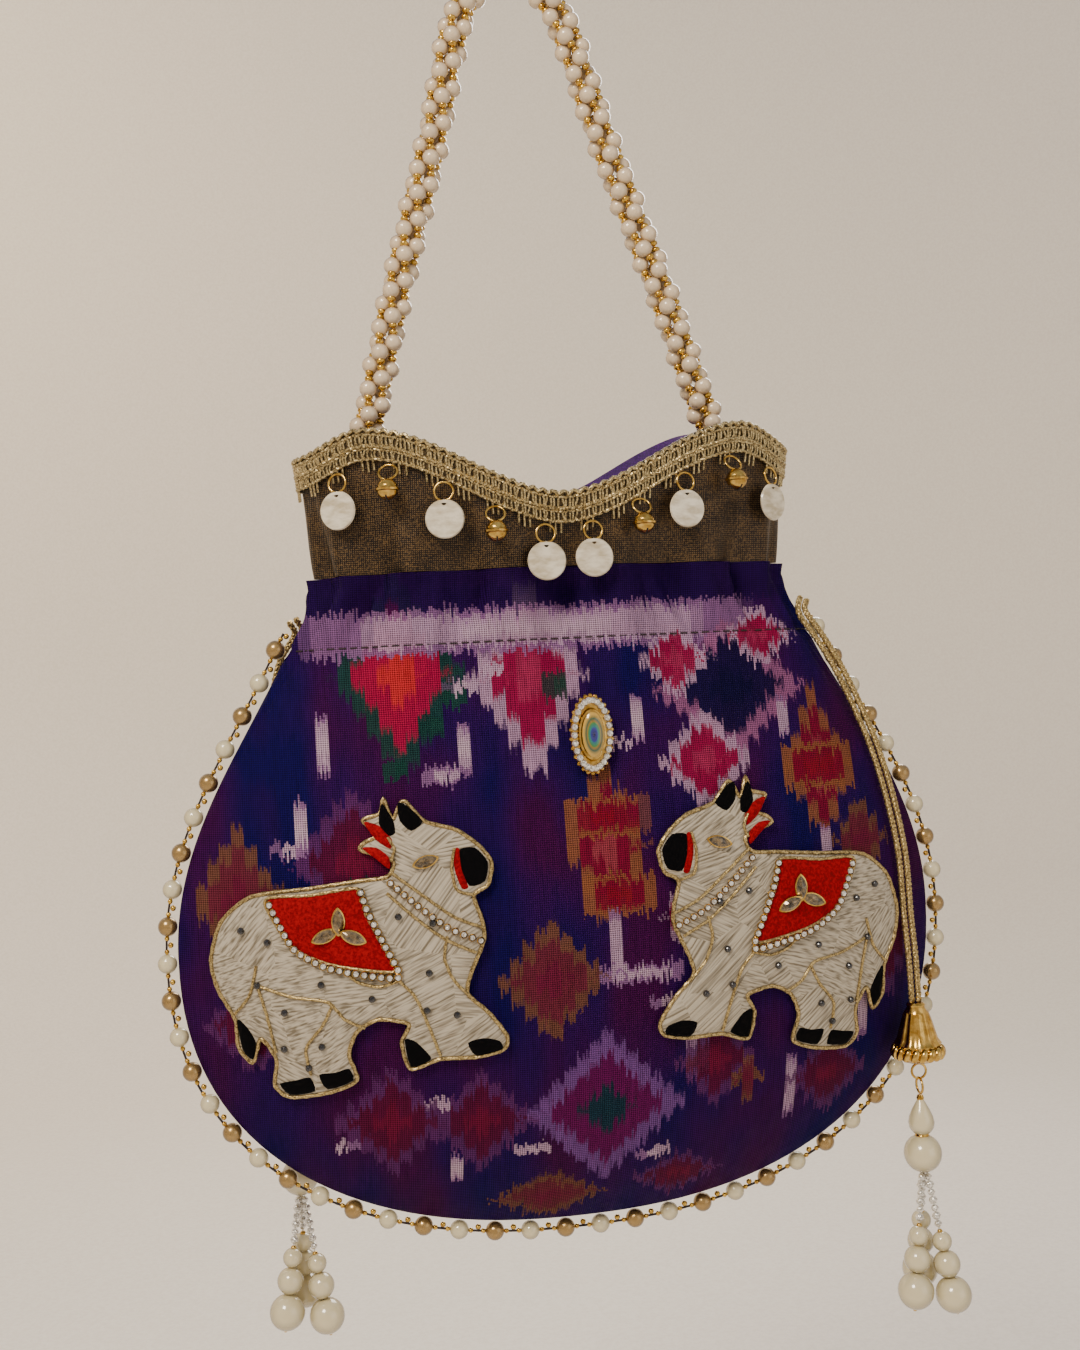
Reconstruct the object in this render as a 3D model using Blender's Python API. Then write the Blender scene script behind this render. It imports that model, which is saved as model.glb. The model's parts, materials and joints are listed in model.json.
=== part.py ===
"""Drawstring potli bag with a beaded handle, a charm-hung mouth and cow appliques.

The bag hangs from its handle. The origin is the grip at the top of the handle arch,
+Z is up and the front faces -Y. Lengths are in metres.
"""

import math

import bmesh
import bpy
from mathutils import Matrix, Vector
from mathutils.bvhtree import BVHTree

GAP = 0.0003
CLOTH = 0.0012
TAU = 2.0 * math.pi

# Body of the bag, measured from its own upright axis
AXIS_X = 0.005
COLUMNS = 56
FOLDS = 14
BODY_HALF_WIDTH = 0.1155
BODY_HALF_DEPTH = 0.032
BODY_DROP = 0.0873
BODY_ROUNDNESS = 2.3
WIDEST_Z = -0.2924
NECK_Z = -0.187
NECK_HALF_WIDTH = 0.0685
NECK_HALF_DEPTH = 0.021
SHOULDER_LEAN = (0.023, -0.042)
FLANK_RISE = 0.037
GATHER_DEPTH = 0.0022
GATHER_UP = 0.022
GATHER_DOWN = 0.026
SEAM_PINCH = 0.5
CASING_HEIGHT = 0.015
NECK_ROW = 0.004
SHOULDER_ROW = 0.010

# Mouth, collar and lace
MOUTH_HALF_WIDTH = 0.075
MOUTH_HALF_DEPTH = 0.027
RIM_PEAK_Z = -0.143
RIM_SAG = 0.020
RIM_END_DROP = 0.006
RIM_PEAK_X = 0.056
COLLAR_BASE_Z = NECK_Z + 0.003
COLLAR_ROWS = (0.0, 0.35, 0.65, 1.0)
LACE_HEIGHT = 0.012
LACE_THICKNESS = 0.001
LACE_STANDOFF = 0.0005
LACE_LIP = 0.0008
LACE_FLARE = 1.3
SCALLOP = 0.0014
LINING = 0.0006
LINING_DEPTH = 0.022
LINING_GAP = 0.0008
LINING_SET = 0.001

# Handle of twisted pearl strands
PEARL_PITCH = 0.0075
STRAND_OUTER = 0.0062
STRAND_INNER = 0.0045
STRAND_WAIST = 0.7
HANDLE_ROUTE = ((0.0145, -0.0135), (0.0265, -0.054), (0.041, -0.100), (0.0535, -0.143))
HANDLE_FOOT_Z = (-0.158, -0.170)
FOOT_EASE = 0.0021

# Beads along the side seam
BEAD_RADIUS = 0.0029
BEAD_PITCH = 0.0109
THREAD_RADIUS = 0.0006
BEAD_TOP_Z = -0.201

# Charms on the lace
RING_RADIUS = 0.0027
RING_WIRE = 0.00035
RING_OVERLAP = 0.0020
RING_BITE = 0.0004
DISC_TILT = math.radians(8)
BELL_TILT = math.radians(34)
CHARM_GAP = 0.0004
PROBE = 0.02
DISC_RADIUS = 0.0056
DISC_THICKNESS = 0.0011
DISC_BEVEL = 0.0006
BELL_RADIUS = 0.0032
BELL_BAND = 1.12
MOUTH_EDGE = 0.002
CHARM_FRONT = "sbsbssbsbs"
CHARM_FROM = -0.062
CHARM_TO = 0.064

# Draw cords and tassels
CORD_DIAMETER = 0.0044
CORD_LIFT = 0.0006
CORD_STEP = 0.0002
CORD_MOUTH_Y = 0.0046
CORD_MOUTH_DROP = 0.0085
FRONT_CORD_ROUTE = ((0.0765, -0.200), (0.0815, -0.2075), (0.0870, -0.2170), (0.0925, -0.2290),
                    (0.0970, -0.2420), (0.1005, -0.2580), (0.1030, -0.2760), (0.1040, -0.2950))
FRONT_HANG = (0.1045, -0.0135)
BACK_CORD_ROUTE = ((-0.0765, -0.200), (-0.0815, -0.2085), (-0.0840, -0.2200), (-0.0845, -0.2360),
                   (-0.0840, -0.2550), (-0.0838, -0.2780))
BACK_HANG = (-0.0838, 0.0265)
CORD_END_Z = -0.3210
CAP_HEIGHT = 0.0125
CAP_TOP_RADIUS = 0.0027
CAP_NECK_RADIUS = 0.0039
CAP_WAIST_RADIUS = 0.0056
CAP_SKIRT_RADIUS = 0.0066
CAP_RING_RADIUS = 0.0090
CAP_ROLL = 0.0050
PIN_RADIUS = 0.0012
PIN_DROP = 0.0155
TEARDROP = ((0.0009, 0.0), (0.0026, -0.0045), (0.0040, -0.0085), (0.0030, -0.0115), (0.0014, -0.0125))
PEARL_RADIUS = 0.0058
STRAND_PEARLS = (0.0030, 0.0041, 0.0055)
STRAND_COUNT = 3
STRAND_FAN = math.radians(9.5)
STRAND_START = 0.0130
STRAND_STEP = 0.0025
STRAND_THREAD = 0.0007
STRAND_BITE = 0.94
STRAND_KNOT = 0.0004
STRAND_SPREAD = 0.0010
STRAND_SEAT = 0.0001

# Applique cows and the brooch
COW_PLACES = {"left": -0.5584 * BODY_HALF_WIDTH, "right": 0.5091 * BODY_HALF_WIDTH}
COW_Z = -0.2905
COW_SCALE = BODY_HALF_WIDTH / 420.0
COW_THICKNESS = 0.0018
COW_GAP = 0.0008
SADDLE_THICKNESS = 0.0012
PATCH_EDGE = 0.011
BROOCH_X = 0.0090
BROOCH_Z = -0.2330
BROOCH_WIDTH = 0.0128
BROOCH_HEIGHT = 0.0232
BROOCH_THICKNESS = 0.0030
STONE_SHARE = (0.5, 0.55)
STONE_THICKNESS = 0.0014
FAR = 0.2


def clear_scene():
    """Remove the objects that the open scene starts with."""
    for item in list(bpy.data.objects):
        bpy.data.objects.remove(item, do_unlink=True)


def finish(name, colour, roughness, metallic=0.0):
    """Return a Principled material in one colour."""
    material = bpy.data.materials.new(name)
    material.use_nodes = True
    shader = material.node_tree.nodes["Principled BSDF"]
    shader.inputs["Base Color"].default_value = (*colour, 1.0)
    shader.inputs["Roughness"].default_value = roughness
    shader.inputs["Metallic"].default_value = metallic
    return material


def add_object(name, mesh, material):
    """Link a mesh into the scene as a named, smooth-shaded object."""
    mesh.materials.append(material)
    mesh.shade_smooth()
    mesh.set_sharp_from_angle(angle=math.radians(40))
    item = bpy.data.objects.new(name, mesh)
    bpy.context.scene.collection.objects.link(item)
    return item


def mesh_from(name, points, faces):
    """Build a mesh from points and faces, with every face turned outwards."""
    mesh = bpy.data.meshes.new(name)
    mesh.from_pydata([tuple(point) for point in points], [], faces)
    work = bmesh.new()
    work.from_mesh(mesh)
    bmesh.ops.recalc_face_normals(work, faces=work.faces)
    work.to_mesh(mesh)
    work.free()
    return mesh


def blend(start, end, share):
    """Read a value between two others."""
    return start + (end - start) * share


def ease(share):
    """Smooth a share between nought and one at both ends."""
    share = min(1.0, max(0.0, share))
    return share * share * (3.0 - 2.0 * share)


def flank(share):
    """Read the half-width and height of the side outline above the widest line."""
    lean_x, lean_z = SHOULDER_LEAN
    stations = ((NECK_HALF_WIDTH, NECK_Z), (NECK_HALF_WIDTH + lean_x, NECK_Z + lean_z),
                (BODY_HALF_WIDTH, WIDEST_Z + FLANK_RISE), (BODY_HALF_WIDTH, WIDEST_Z))
    rest = 1.0 - share
    weights = (rest ** 3, 3 * share * rest ** 2, 3 * share ** 2 * rest, share ** 3)
    half_width = sum(weight * station[0] for weight, station in zip(weights, stations))
    height = sum(weight * station[1] for weight, station in zip(weights, stations))
    return half_width, height


def half_section(z):
    """Return the half-width and half-depth of the cloth at a height."""
    if z >= NECK_Z:
        share = ((z - NECK_Z) / (RIM_PEAK_Z - NECK_Z)) ** 0.8
        return (blend(NECK_HALF_WIDTH, MOUTH_HALF_WIDTH, share),
                blend(NECK_HALF_DEPTH, MOUTH_HALF_DEPTH, share))
    if z <= WIDEST_Z:
        fall = min(1.0, (WIDEST_Z - z) / BODY_DROP)
        core = max(0.0, 1.0 - fall ** BODY_ROUNDNESS)
        return BODY_HALF_WIDTH * core ** (1.0 / BODY_ROUNDNESS), BODY_HALF_DEPTH * core ** 0.75
    low, high = 0.0, 1.0
    for _ in range(40):
        middle = (low + high) / 2.0
        if flank(middle)[1] > z:
            low = middle
        else:
            high = middle
    share = ease((NECK_Z - z) / (NECK_Z - WIDEST_Z))
    return flank(low)[0], blend(NECK_HALF_DEPTH, BODY_HALF_DEPTH, share)


def gather(z):
    """Return the depth of the gathers at a height."""
    reach = GATHER_UP if z > NECK_Z else GATHER_DOWN
    return GATHER_DEPTH * math.exp(-((z - NECK_Z) / reach) ** 2)


def cloth_point(angle, z, inset=0.0):
    """Return a point of the cloth, set in from its outer face."""
    half_width, half_depth = half_section(z)
    pleat = gather(z) * math.cos(FOLDS * angle)
    pinch = 1.0 + SEAM_PINCH * ease((NECK_Z - z) / (NECK_Z - WIDEST_Z))
    across = math.sin(angle)
    x = (half_width - inset + pleat) * math.cos(angle)
    y = (half_depth - inset + pleat) * math.copysign(abs(across) ** pinch, across)
    return Vector((AXIS_X + x, y, z))


def front_depth(x, z):
    """Return how far the smooth body reaches from the seam plane at a place."""
    half_width, half_depth = half_section(z)
    room = max(0.0, 1.0 - (x / half_width) ** 2)
    pinch = 1.0 + SEAM_PINCH * ease((NECK_Z - z) / (NECK_Z - WIDEST_Z))
    return half_depth * room ** (pinch / 2.0)


def rim_height(angle):
    """Return the height of the mouth's edge, which peaks beside the handle."""
    x = abs(MOUTH_HALF_WIDTH * math.cos(angle))
    if x <= RIM_PEAK_X:
        return RIM_PEAK_Z - RIM_SAG * ease(1.0 - x / RIM_PEAK_X)
    return RIM_PEAK_Z - RIM_END_DROP * ease((x - RIM_PEAK_X) / (MOUTH_HALF_WIDTH - RIM_PEAK_X))


def column_angles():
    """Return the angles of the cloth's upright columns."""
    return [TAU * column / COLUMNS for column in range(COLUMNS)]


def band_faces(rows, columns, closed_rows=False):
    """Return the faces of a tube whose rings are laid row after row."""
    faces = []
    bands = rows if closed_rows else rows - 1
    for row in range(bands):
        below = (row + 1) % rows
        for column in range(columns):
            beside = (column + 1) % columns
            faces.append((row * columns + column, row * columns + beside,
                          below * columns + beside, below * columns + column))
    return faces


def sleeve(name, rings):
    """Build an open sleeve whose rings run round its section, down inside and up outside."""
    points = [point for ring in rings for point in ring]
    return mesh_from(name, points, band_faces(len(rings), COLUMNS, closed_rows=True))


def pouch_mesh():
    """Build the ikat cloth of the bag, open at the neck and closed below."""
    casing = NECK_Z - CASING_HEIGHT
    shoulder = casing - SHOULDER_ROW
    upper = [COLLAR_BASE_Z - GAP, NECK_Z - NECK_ROW, casing, shoulder]
    upper += [blend(shoulder, WIDEST_Z, share) for share in (0.25, 0.52, 0.80)]
    lower = [math.sin(math.radians(tilt)) ** (2.0 / BODY_ROUNDNESS) for tilt in (8, 27, 44, 59, 72, 83)]
    points = []
    for inset in (CLOTH, 0.0):
        rings = [[cloth_point(angle, z, inset) for angle in column_angles()] for z in upper]
        scale = 1.0 - inset / BODY_DROP
        for fall in lower:
            z = WIDEST_Z - BODY_DROP * fall
            ring = [cloth_point(angle, z) for angle in column_angles()]
            spread = Vector((1.0 - inset / BODY_HALF_WIDTH, 1.0 - inset / BODY_HALF_DEPTH, scale))
            rings.append([Vector((AXIS_X + (point.x - AXIS_X) * spread.x, point.y * spread.y,
                                  WIDEST_Z + (point.z - WIDEST_Z) * spread.z)) for point in ring])
        points.append((rings, Vector((AXIS_X, 0.0, WIDEST_Z - BODY_DROP * scale))))
    inner_rings, inner_pole = points[0]
    outer_rings, outer_pole = points[1]
    rings = list(reversed(inner_rings)) + outer_rings
    faces = band_faces(len(rings), COLUMNS)
    vertices = [point for ring in rings for point in ring]
    last = (len(rings) - 1) * COLUMNS
    for column in range(COLUMNS):
        beside = (column + 1) % COLUMNS
        faces.append((len(vertices), beside, column))
        faces.append((len(vertices) + 1, last + column, last + beside))
    vertices += [inner_pole, outer_pole]
    return mesh_from("pouch", vertices, faces)


def collar_ring(share, inset, drop=0.0):
    """Return one ring of the collar between its base and the mouth's edge."""
    ring = []
    for angle in column_angles():
        z = blend(COLLAR_BASE_Z, rim_height(angle), share) - drop
        ring.append(cloth_point(angle, z, inset))
    return ring


def collar_mesh():
    """Build the tissue collar above the neck."""
    inner = [collar_ring(share, CLOTH) for share in reversed(COLLAR_ROWS)]
    outer = [collar_ring(share, 0.0) for share in COLLAR_ROWS]
    return sleeve("collar", inner + outer)


def lining_mesh():
    """Build the satin lining that shows inside the mouth."""
    outside = CLOTH + LINING_GAP
    inside = outside + LINING

    def rings(inset):
        foot = [cloth_point(angle, NECK_Z - LINING_DEPTH, inset) for angle in column_angles()]
        neck = [cloth_point(angle, NECK_Z - NECK_ROW, inset) for angle in column_angles()]
        return [foot, neck] + [collar_ring(share, inset, LINING_SET * share) for share in COLLAR_ROWS]

    return sleeve("lining", list(reversed(rings(inside))) + rings(outside))


def lace_bottom(angle):
    """Return the height of the lace's scalloped lower edge."""
    return rim_height(angle) - LACE_HEIGHT


def lace_mesh():
    """Build the metallic lace sewn round the outside of the mouth."""
    inner = -LACE_STANDOFF
    outer = inner - LACE_THICKNESS
    rings = []
    section = ((inner, 0.0), (inner, 0.5), (inner, 1.0),
               (outer * LACE_FLARE, 1.0), (outer, 0.5), (outer, 0.0))
    for inset, share in section:
        ring = []
        for column, angle in enumerate(column_angles()):
            low = lace_bottom(angle) + SCALLOP * (column % 2)
            z = blend(low, rim_height(angle) + LACE_LIP, share)
            ring.append(cloth_point(angle, min(z, RIM_PEAK_Z + LACE_LIP), inset))
        rings.append(ring)
    return sleeve("lace", rings)


def smooth_route(stations, steps):
    """Read points from a smooth curve through the stations of a route."""
    padded = [stations[0] * 2 - stations[1], *stations, stations[-1] * 2 - stations[-2]]
    points = []
    for index in range(len(stations) - 1):
        before, start, end, after = padded[index:index + 4]
        for step in range(steps):
            t = step / steps
            points.append(0.5 * (2 * start + (end - before) * t
                                 + (2 * before - 5 * start + 4 * end - after) * t ** 2
                                 + (3 * start - before - 3 * end + after) * t ** 3))
    points.append(stations[-1].copy())
    return points


def spaced(points, pitch):
    """Return points at an even pitch along a line of points, both ends included."""
    lengths = [0.0]
    for start, end in zip(points, points[1:]):
        lengths.append(lengths[-1] + (end - start).length)
    count = max(2, round(lengths[-1] / pitch))
    result = []
    index = 0
    for step in range(count + 1):
        target = lengths[-1] * step / count
        while index < len(points) - 2 and lengths[index + 1] < target:
            index += 1
        run = lengths[index + 1] - lengths[index]
        result.append(points[index].lerp(points[index + 1], (target - lengths[index]) / run))
    return result


def swept(name, route, radii, sides, side_axis):
    """Sweep a ring along a route; radii gives each ring's list of radii."""
    points = []
    for index, centre in enumerate(route):
        ahead = route[min(index + 1, len(route) - 1)] - route[max(index - 1, 0)]
        ahead.normalize()
        flat = ahead.cross(side_axis).normalized()
        for side in range(sides):
            turn = TAU * side / sides
            radius = radii[index][side % len(radii[index])]
            points.append(centre + radius * (math.cos(turn) * flat + math.sin(turn) * side_axis))
    faces = band_faces(len(route), sides)
    faces.append(tuple(range(sides)))
    faces.append(tuple((len(route) - 1) * sides + side for side in range(sides)))
    return mesh_from(name, points, faces)


def handle_route():
    """Return the centreline of the handle from its left foot to its right foot."""
    feet = []
    for z in HANDLE_FOOT_Z:
        seat = cloth_point(0.0, z, CLOTH + LINING_GAP + LINING).x - AXIS_X
        feet.append((seat - STRAND_OUTER - FOOT_EASE, z))
    half = [Vector((x, 0.0, z)) for x, z in (*HANDLE_ROUTE, *feet)]
    lean = AXIS_X / abs(HANDLE_FOOT_Z[-1])
    left = [Vector((-point.x - lean * point.z, 0.0, point.z)) for point in reversed(half)]
    right = [Vector((point.x - lean * point.z, 0.0, point.z)) for point in half]
    return smooth_route([*left, Vector((0.0, 0.0, 0.0)), *right], 10)


def handle_mesh():
    """Build the handle as one lobed rod with a swell at each row of its twisted pearls."""
    rows = spaced(handle_route(), PEARL_PITCH)
    route = []
    radii = []
    for index, (start, end) in enumerate(zip(rows, rows[1:])):
        lobes = (STRAND_OUTER, STRAND_INNER) if index % 2 else (STRAND_INNER, STRAND_OUTER)
        for place, swell in ((0.0, STRAND_WAIST), (0.3, 1.0), (0.7, 1.0)):
            route.append(start.lerp(end, place))
            radii.append([radius * swell for radius in lobes])
    route.append(rows[-1])
    radii.append([STRAND_INNER * STRAND_WAIST])
    return swept("handle", route, radii, 6, Vector((0.0, 1.0, 0.0)))


def seam_route():
    """Return the line of the beads round the side seam and the bottom."""
    half = []
    steps = 28
    for step in range(steps):
        z = blend(BEAD_TOP_Z, WIDEST_Z, step / steps)
        half.append(Vector((half_section(z)[0] + gather(z), 0.0, z)))
    for step in range(steps + 1):
        turn = 0.5 * math.pi * step / steps
        half.append(Vector((BODY_HALF_WIDTH * math.cos(turn) ** (2.0 / BODY_ROUNDNESS), 0.0,
                            WIDEST_Z - BODY_DROP * math.sin(turn) ** (2.0 / BODY_ROUNDNESS))))
    outset = []
    for index, point in enumerate(half):
        ahead = half[min(index + 1, len(half) - 1)] - half[max(index - 1, 0)]
        outward = Vector((-ahead.z, 0.0, ahead.x)).normalized()
        outset.append(point + outward * (BEAD_RADIUS + GAP))
    outset[-1].x = 0.0
    right = [Vector((AXIS_X + point.x, 0.0, point.z)) for point in outset]
    left = [Vector((AXIS_X - point.x, 0.0, point.z)) for point in outset[:-1]]
    return left + list(reversed(right))


def seam_beads_mesh():
    """Build the row of beads threaded along the seam."""
    rows = spaced(seam_route(), BEAD_PITCH)
    share = BEAD_RADIUS / BEAD_PITCH
    route = []
    radii = []
    for start, end in zip(rows, rows[1:]):
        for place, radius in ((0.5 - share, THREAD_RADIUS), (0.5 - 0.5 * share, BEAD_RADIUS * 0.9),
                              (0.5 + 0.5 * share, BEAD_RADIUS * 0.9), (0.5 + share, THREAD_RADIUS)):
            route.append(start.lerp(end, place))
            radii.append([radius])
    return swept("seam_beads", route, radii, 5, Vector((0.0, 1.0, 0.0)))


def turned(name, profile, sides, centre):
    """Turn a closed profile of (radius, height) pairs about an upright axis."""
    rings = []
    for radius, height in profile[1:-1]:
        rings += [centre + Vector((radius * math.cos(TAU * side / sides),
                                   radius * math.sin(TAU * side / sides), height))
                  for side in range(sides)]
    count = len(profile) - 2
    faces = band_faces(count, sides)
    for side in range(sides):
        beside = (side + 1) % sides
        faces.append((len(rings), beside, side))
        faces.append((len(rings) + 1, (count - 1) * sides + side, (count - 1) * sides + beside))
    rings += [centre + Vector((0.0, 0.0, profile[0][1])), centre + Vector((0.0, 0.0, profile[-1][1]))]
    return mesh_from(name, rings, faces)


def ball_profile(radius, centre_height, steps):
    """Return the rim points of a ball's outline, from its top to its foot, without the poles."""
    turns = [math.pi * step / steps for step in range(1, steps)]
    return [(radius * math.sin(turn), centre_height + radius * math.cos(turn)) for turn in turns]


def torus_mesh(name, radius, wire, turns=8, sides=4):
    """Build a ring of wire that stands in the local XZ plane."""
    points = []
    for turn in range(turns):
        swing = TAU * turn / turns
        out = Vector((math.cos(swing), 0.0, math.sin(swing)))
        for side in range(sides):
            roll = TAU * side / sides
            points.append(out * (radius + wire * math.cos(roll)) + Vector((0.0, wire * math.sin(roll), 0.0)))
    return mesh_from(name, points, band_faces(turns, sides, closed_rows=True))


def disc_mesh(name):
    """Build a shell disc with a bevelled edge, standing in the local XZ plane."""
    sides = 10
    rings = []
    flat = DISC_RADIUS - DISC_BEVEL
    for radius, depth in ((flat, -0.5), (DISC_RADIUS, 0.0), (flat, 0.5)):
        rings += [Vector((radius * math.cos(TAU * side / sides), depth * DISC_THICKNESS,
                          radius * math.sin(TAU * side / sides))) for side in range(sides)]
    faces = band_faces(3, sides)
    faces.append(tuple(range(sides)))
    faces.append(tuple(2 * sides + side for side in range(sides)))
    return mesh_from(name, rings, faces)


def bell_mesh(name):
    """Build a small closed jingle bell with a waist band."""
    profile = [(0.0, BELL_RADIUS)]
    for step in range(1, 4):
        turn = math.pi * step / 4
        flare = BELL_BAND if step == 2 else 1.0
        profile.append((BELL_RADIUS * math.sin(turn) * flare, BELL_RADIUS * math.cos(turn)))
    profile.append((0.0, -BELL_RADIUS))
    return turned(name, profile, 7, Vector((0.0, 0.0, 0.0)))


def angle_at(x, front):
    """Return the column angle whose lace edge lies nearest a place across the mouth."""
    side = math.acos(max(-1.0, min(1.0, x / (MOUTH_HALF_WIDTH - MOUTH_EDGE))))
    return -side if front else side


def mouth_normal(angle):
    """Return the level direction that faces out of the mouth at an angle."""
    along_x = -MOUTH_HALF_WIDTH * math.sin(angle)
    along_y = MOUTH_HALF_DEPTH * math.cos(angle)
    return Vector((along_y, -along_x, 0.0)).normalized()


def clearance(place, outward, surfaces):
    """Return how far a place stands out from the surfaces behind it."""
    reach = []
    for surface in surfaces:
        hit = surface.ray_cast(place + outward * PROBE, -outward, 2.0 * PROBE)[0]
        if hit is not None:
            reach.append((place - hit).dot(outward))
    return min(reach, default=PROBE)


def add_charm(name, kind, angle, surfaces, finishes):
    """Add one ring with its shell disc or bell, its origin where the ring hangs."""
    outward = mouth_normal(angle)
    facing = Matrix.Rotation(math.atan2(outward.x, -outward.y), 4, "Z")
    tilt = Matrix.Rotation(-(DISC_TILT if kind == "s" else BELL_TILT), 4, "X")
    ring = torus_mesh(name + "_ring", RING_RADIUS, RING_WIRE)
    ring.transform(tilt @ Matrix.Translation((0.0, 0.0, -RING_RADIUS)))
    foot = tilt @ Vector((0.0, 0.0, -2.0 * RING_RADIUS))
    body = disc_mesh(name) if kind == "s" else bell_mesh(name)
    reach = DISC_RADIUS if kind == "s" else BELL_RADIUS
    body.transform(Matrix.Translation(foot - Vector((0.0, 0.0, reach - RING_BITE))))
    seat = cloth_point(angle, lace_bottom(angle) + RING_OVERLAP, -LACE_STANDOFF)
    points = [seat + facing @ vert.co for mesh in (ring, body) for vert in mesh.vertices]
    seat += outward * (CHARM_GAP - min(clearance(point, outward, surfaces) for point in points))
    charm = add_object(name, body, finishes["shell" if kind == "s" else "gold"])
    wire = add_object(name + "_ring", ring, finishes["gold"])
    for item in (charm, wire):
        item.matrix_world = Matrix.Translation(seat) @ facing
    wire.hide_render = True
    wire.display_type = "WIRE"
    weld = charm.modifiers.new("ring", "BOOLEAN")
    weld.operation = "UNION"
    weld.solver = "EXACT"
    weld.object = wire


def add_charms(surfaces, finishes):
    """Hang the charms along the front and the back of the mouth."""
    count = len(CHARM_FRONT)
    for front in (True, False):
        for index, kind in enumerate(CHARM_FRONT):
            x = blend(CHARM_FROM, CHARM_TO, index / (count - 1))
            word = "disc" if kind == "s" else "bell"
            side = "front" if front else "back"
            add_charm(f"{side}_{word}_{index + 1}", kind, angle_at(x, front), surfaces, finishes)


def clear_of(ground, place, side, reach):
    """Move a place away from the seam plane until it lies clear of the cloth."""
    step = Vector((0.0, side * CORD_STEP, 0.0))
    while ground.find_nearest(place)[3] < reach:
        place = place + step
    return place


def cord_route(stations, hang, front, ground):
    """Return the route of a draw cord from the casing to its tassel cap."""
    side = -1.0 if front else 1.0
    hang_x, hang_y = hang
    reach = CORD_DIAMETER / 2 + CORD_LIFT
    points = []
    for x, z in stations:
        start = Vector((AXIS_X + x, side * (BEAD_RADIUS + CORD_DIAMETER), z))
        if abs(x) < half_section(z)[0]:
            start.y = side * max(abs(start.y), front_depth(x, z) + CORD_DIAMETER / 2)
        points.append(clear_of(ground, start, side, reach))
    mouth = Vector((0.0, side * CORD_MOUTH_Y, NECK_Z - CORD_MOUTH_DROP))
    mouth.x = AXIS_X + math.copysign(half_section(mouth.z)[0] + gather(mouth.z) + reach, hang_x)
    last = points[-1]
    lower = [Vector((AXIS_X + hang_x, blend(last.y, hang_y, share), blend(last.z, CORD_END_Z, share)))
             for share in (0.5, 1.0)]
    return [mouth, *points, *lower]


def add_cord(name, stations, hang, front, ground, material):
    """Add a draw cord as a round tube on a smooth route."""
    route = spaced(smooth_route(cord_route(stations, hang, front, ground), 6), CORD_DIAMETER * 2.0)
    curve = bpy.data.curves.new(name, "CURVE")
    curve.dimensions = "3D"
    curve.bevel_depth = CORD_DIAMETER / 2
    curve.bevel_resolution = 2
    curve.use_fill_caps = True
    spline = curve.splines.new("POLY")
    spline.points.add(len(route) - 1)
    for point, place in zip(spline.points, route):
        point.co = (*place, 1.0)
    curve.materials.append(material)
    item = bpy.data.objects.new(name, curve)
    bpy.context.scene.collection.objects.link(item)
    return item


def cap_profile():
    """Return the bell-shaped outline of a tassel cap with its rolled rim and its pin."""
    rim = -CAP_HEIGHT
    bell = [(0.0, 0.0), (CAP_TOP_RADIUS, 0.0), (CAP_NECK_RADIUS, rim * 0.24), (CAP_WAIST_RADIUS, rim * 0.7),
            (CAP_SKIRT_RADIUS, rim)]
    roll = [(CAP_RING_RADIUS, rim - 0.24 * CAP_ROLL), (CAP_RING_RADIUS, rim - 0.76 * CAP_ROLL),
            (CAP_SKIRT_RADIUS, rim - CAP_ROLL)]
    pin = [(PIN_RADIUS, rim - CAP_ROLL - PIN_RADIUS), (PIN_RADIUS, rim - PIN_DROP), (0.0, rim - PIN_DROP)]
    return bell + roll + pin


def drop_profile():
    """Return the outline of the teardrop pearl and the round pearl below it."""
    ball_top = TEARDROP[-1][1] + GAP
    ball = ball_profile(PEARL_RADIUS, ball_top - PEARL_RADIUS, 6)
    return [(0.0, 0.0), *TEARDROP, *ball, (0.0, ball_top - 2 * PEARL_RADIUS)]


def strand_profile(start):
    """Return the outline of one hanging strand, small pearl first."""
    profile = [(0.0, 0.0), (STRAND_THREAD, 0.0), (STRAND_THREAD, -start)]
    height = -start
    for radius in STRAND_PEARLS:
        centre = height - radius
        profile += ball_profile(radius, centre, 4)
        height = centre - radius * STRAND_BITE
    profile.append((0.0, height - STRAND_KNOT))
    return profile


def add_tassel(side, hang, finishes):
    """Add a tassel: its cap, its pearl drop and three pearl strands."""
    top = Vector((AXIS_X + hang[0], hang[1], CORD_END_Z - GAP))
    add_object(f"{side}_tassel_cap", turned("cap", cap_profile(), 12, top), finishes["gold"])
    drop_top = top + Vector((0.0, 0.0, cap_profile()[-1][1] - GAP))
    profile = drop_profile()
    drop = turned("drop", profile, 10, Vector((0.0, 0.0, 0.0)))
    item = add_object(f"{side}_pearl_drop", drop, finishes["pearl"])
    item.location = drop_top
    foot = drop_top + Vector((0.0, 0.0, profile[-1][1] - GAP))
    for index in range(STRAND_COUNT):
        turn = TAU * (index / STRAND_COUNT + 0.25)
        outward = Vector((math.cos(turn), math.sin(turn), 0.0))
        profile = strand_profile(STRAND_START + STRAND_STEP * index)
        strand = add_object(f"{side}_pearl_strand_{index + 1}",
                            turned("strand", profile, 7, Vector((0.0, 0.0, 0.0))), finishes["pearl"])
        lean = outward * math.sin(STRAND_FAN) - Vector((0.0, 0.0, math.cos(STRAND_FAN)))
        strand.rotation_mode = "QUATERNION"
        strand.rotation_quaternion = Vector((0.0, 0.0, -1.0)).rotation_difference(lean)
        strand.location = foot + outward * STRAND_SPREAD + Vector((0.0, 0.0, STRAND_SEAT))


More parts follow.
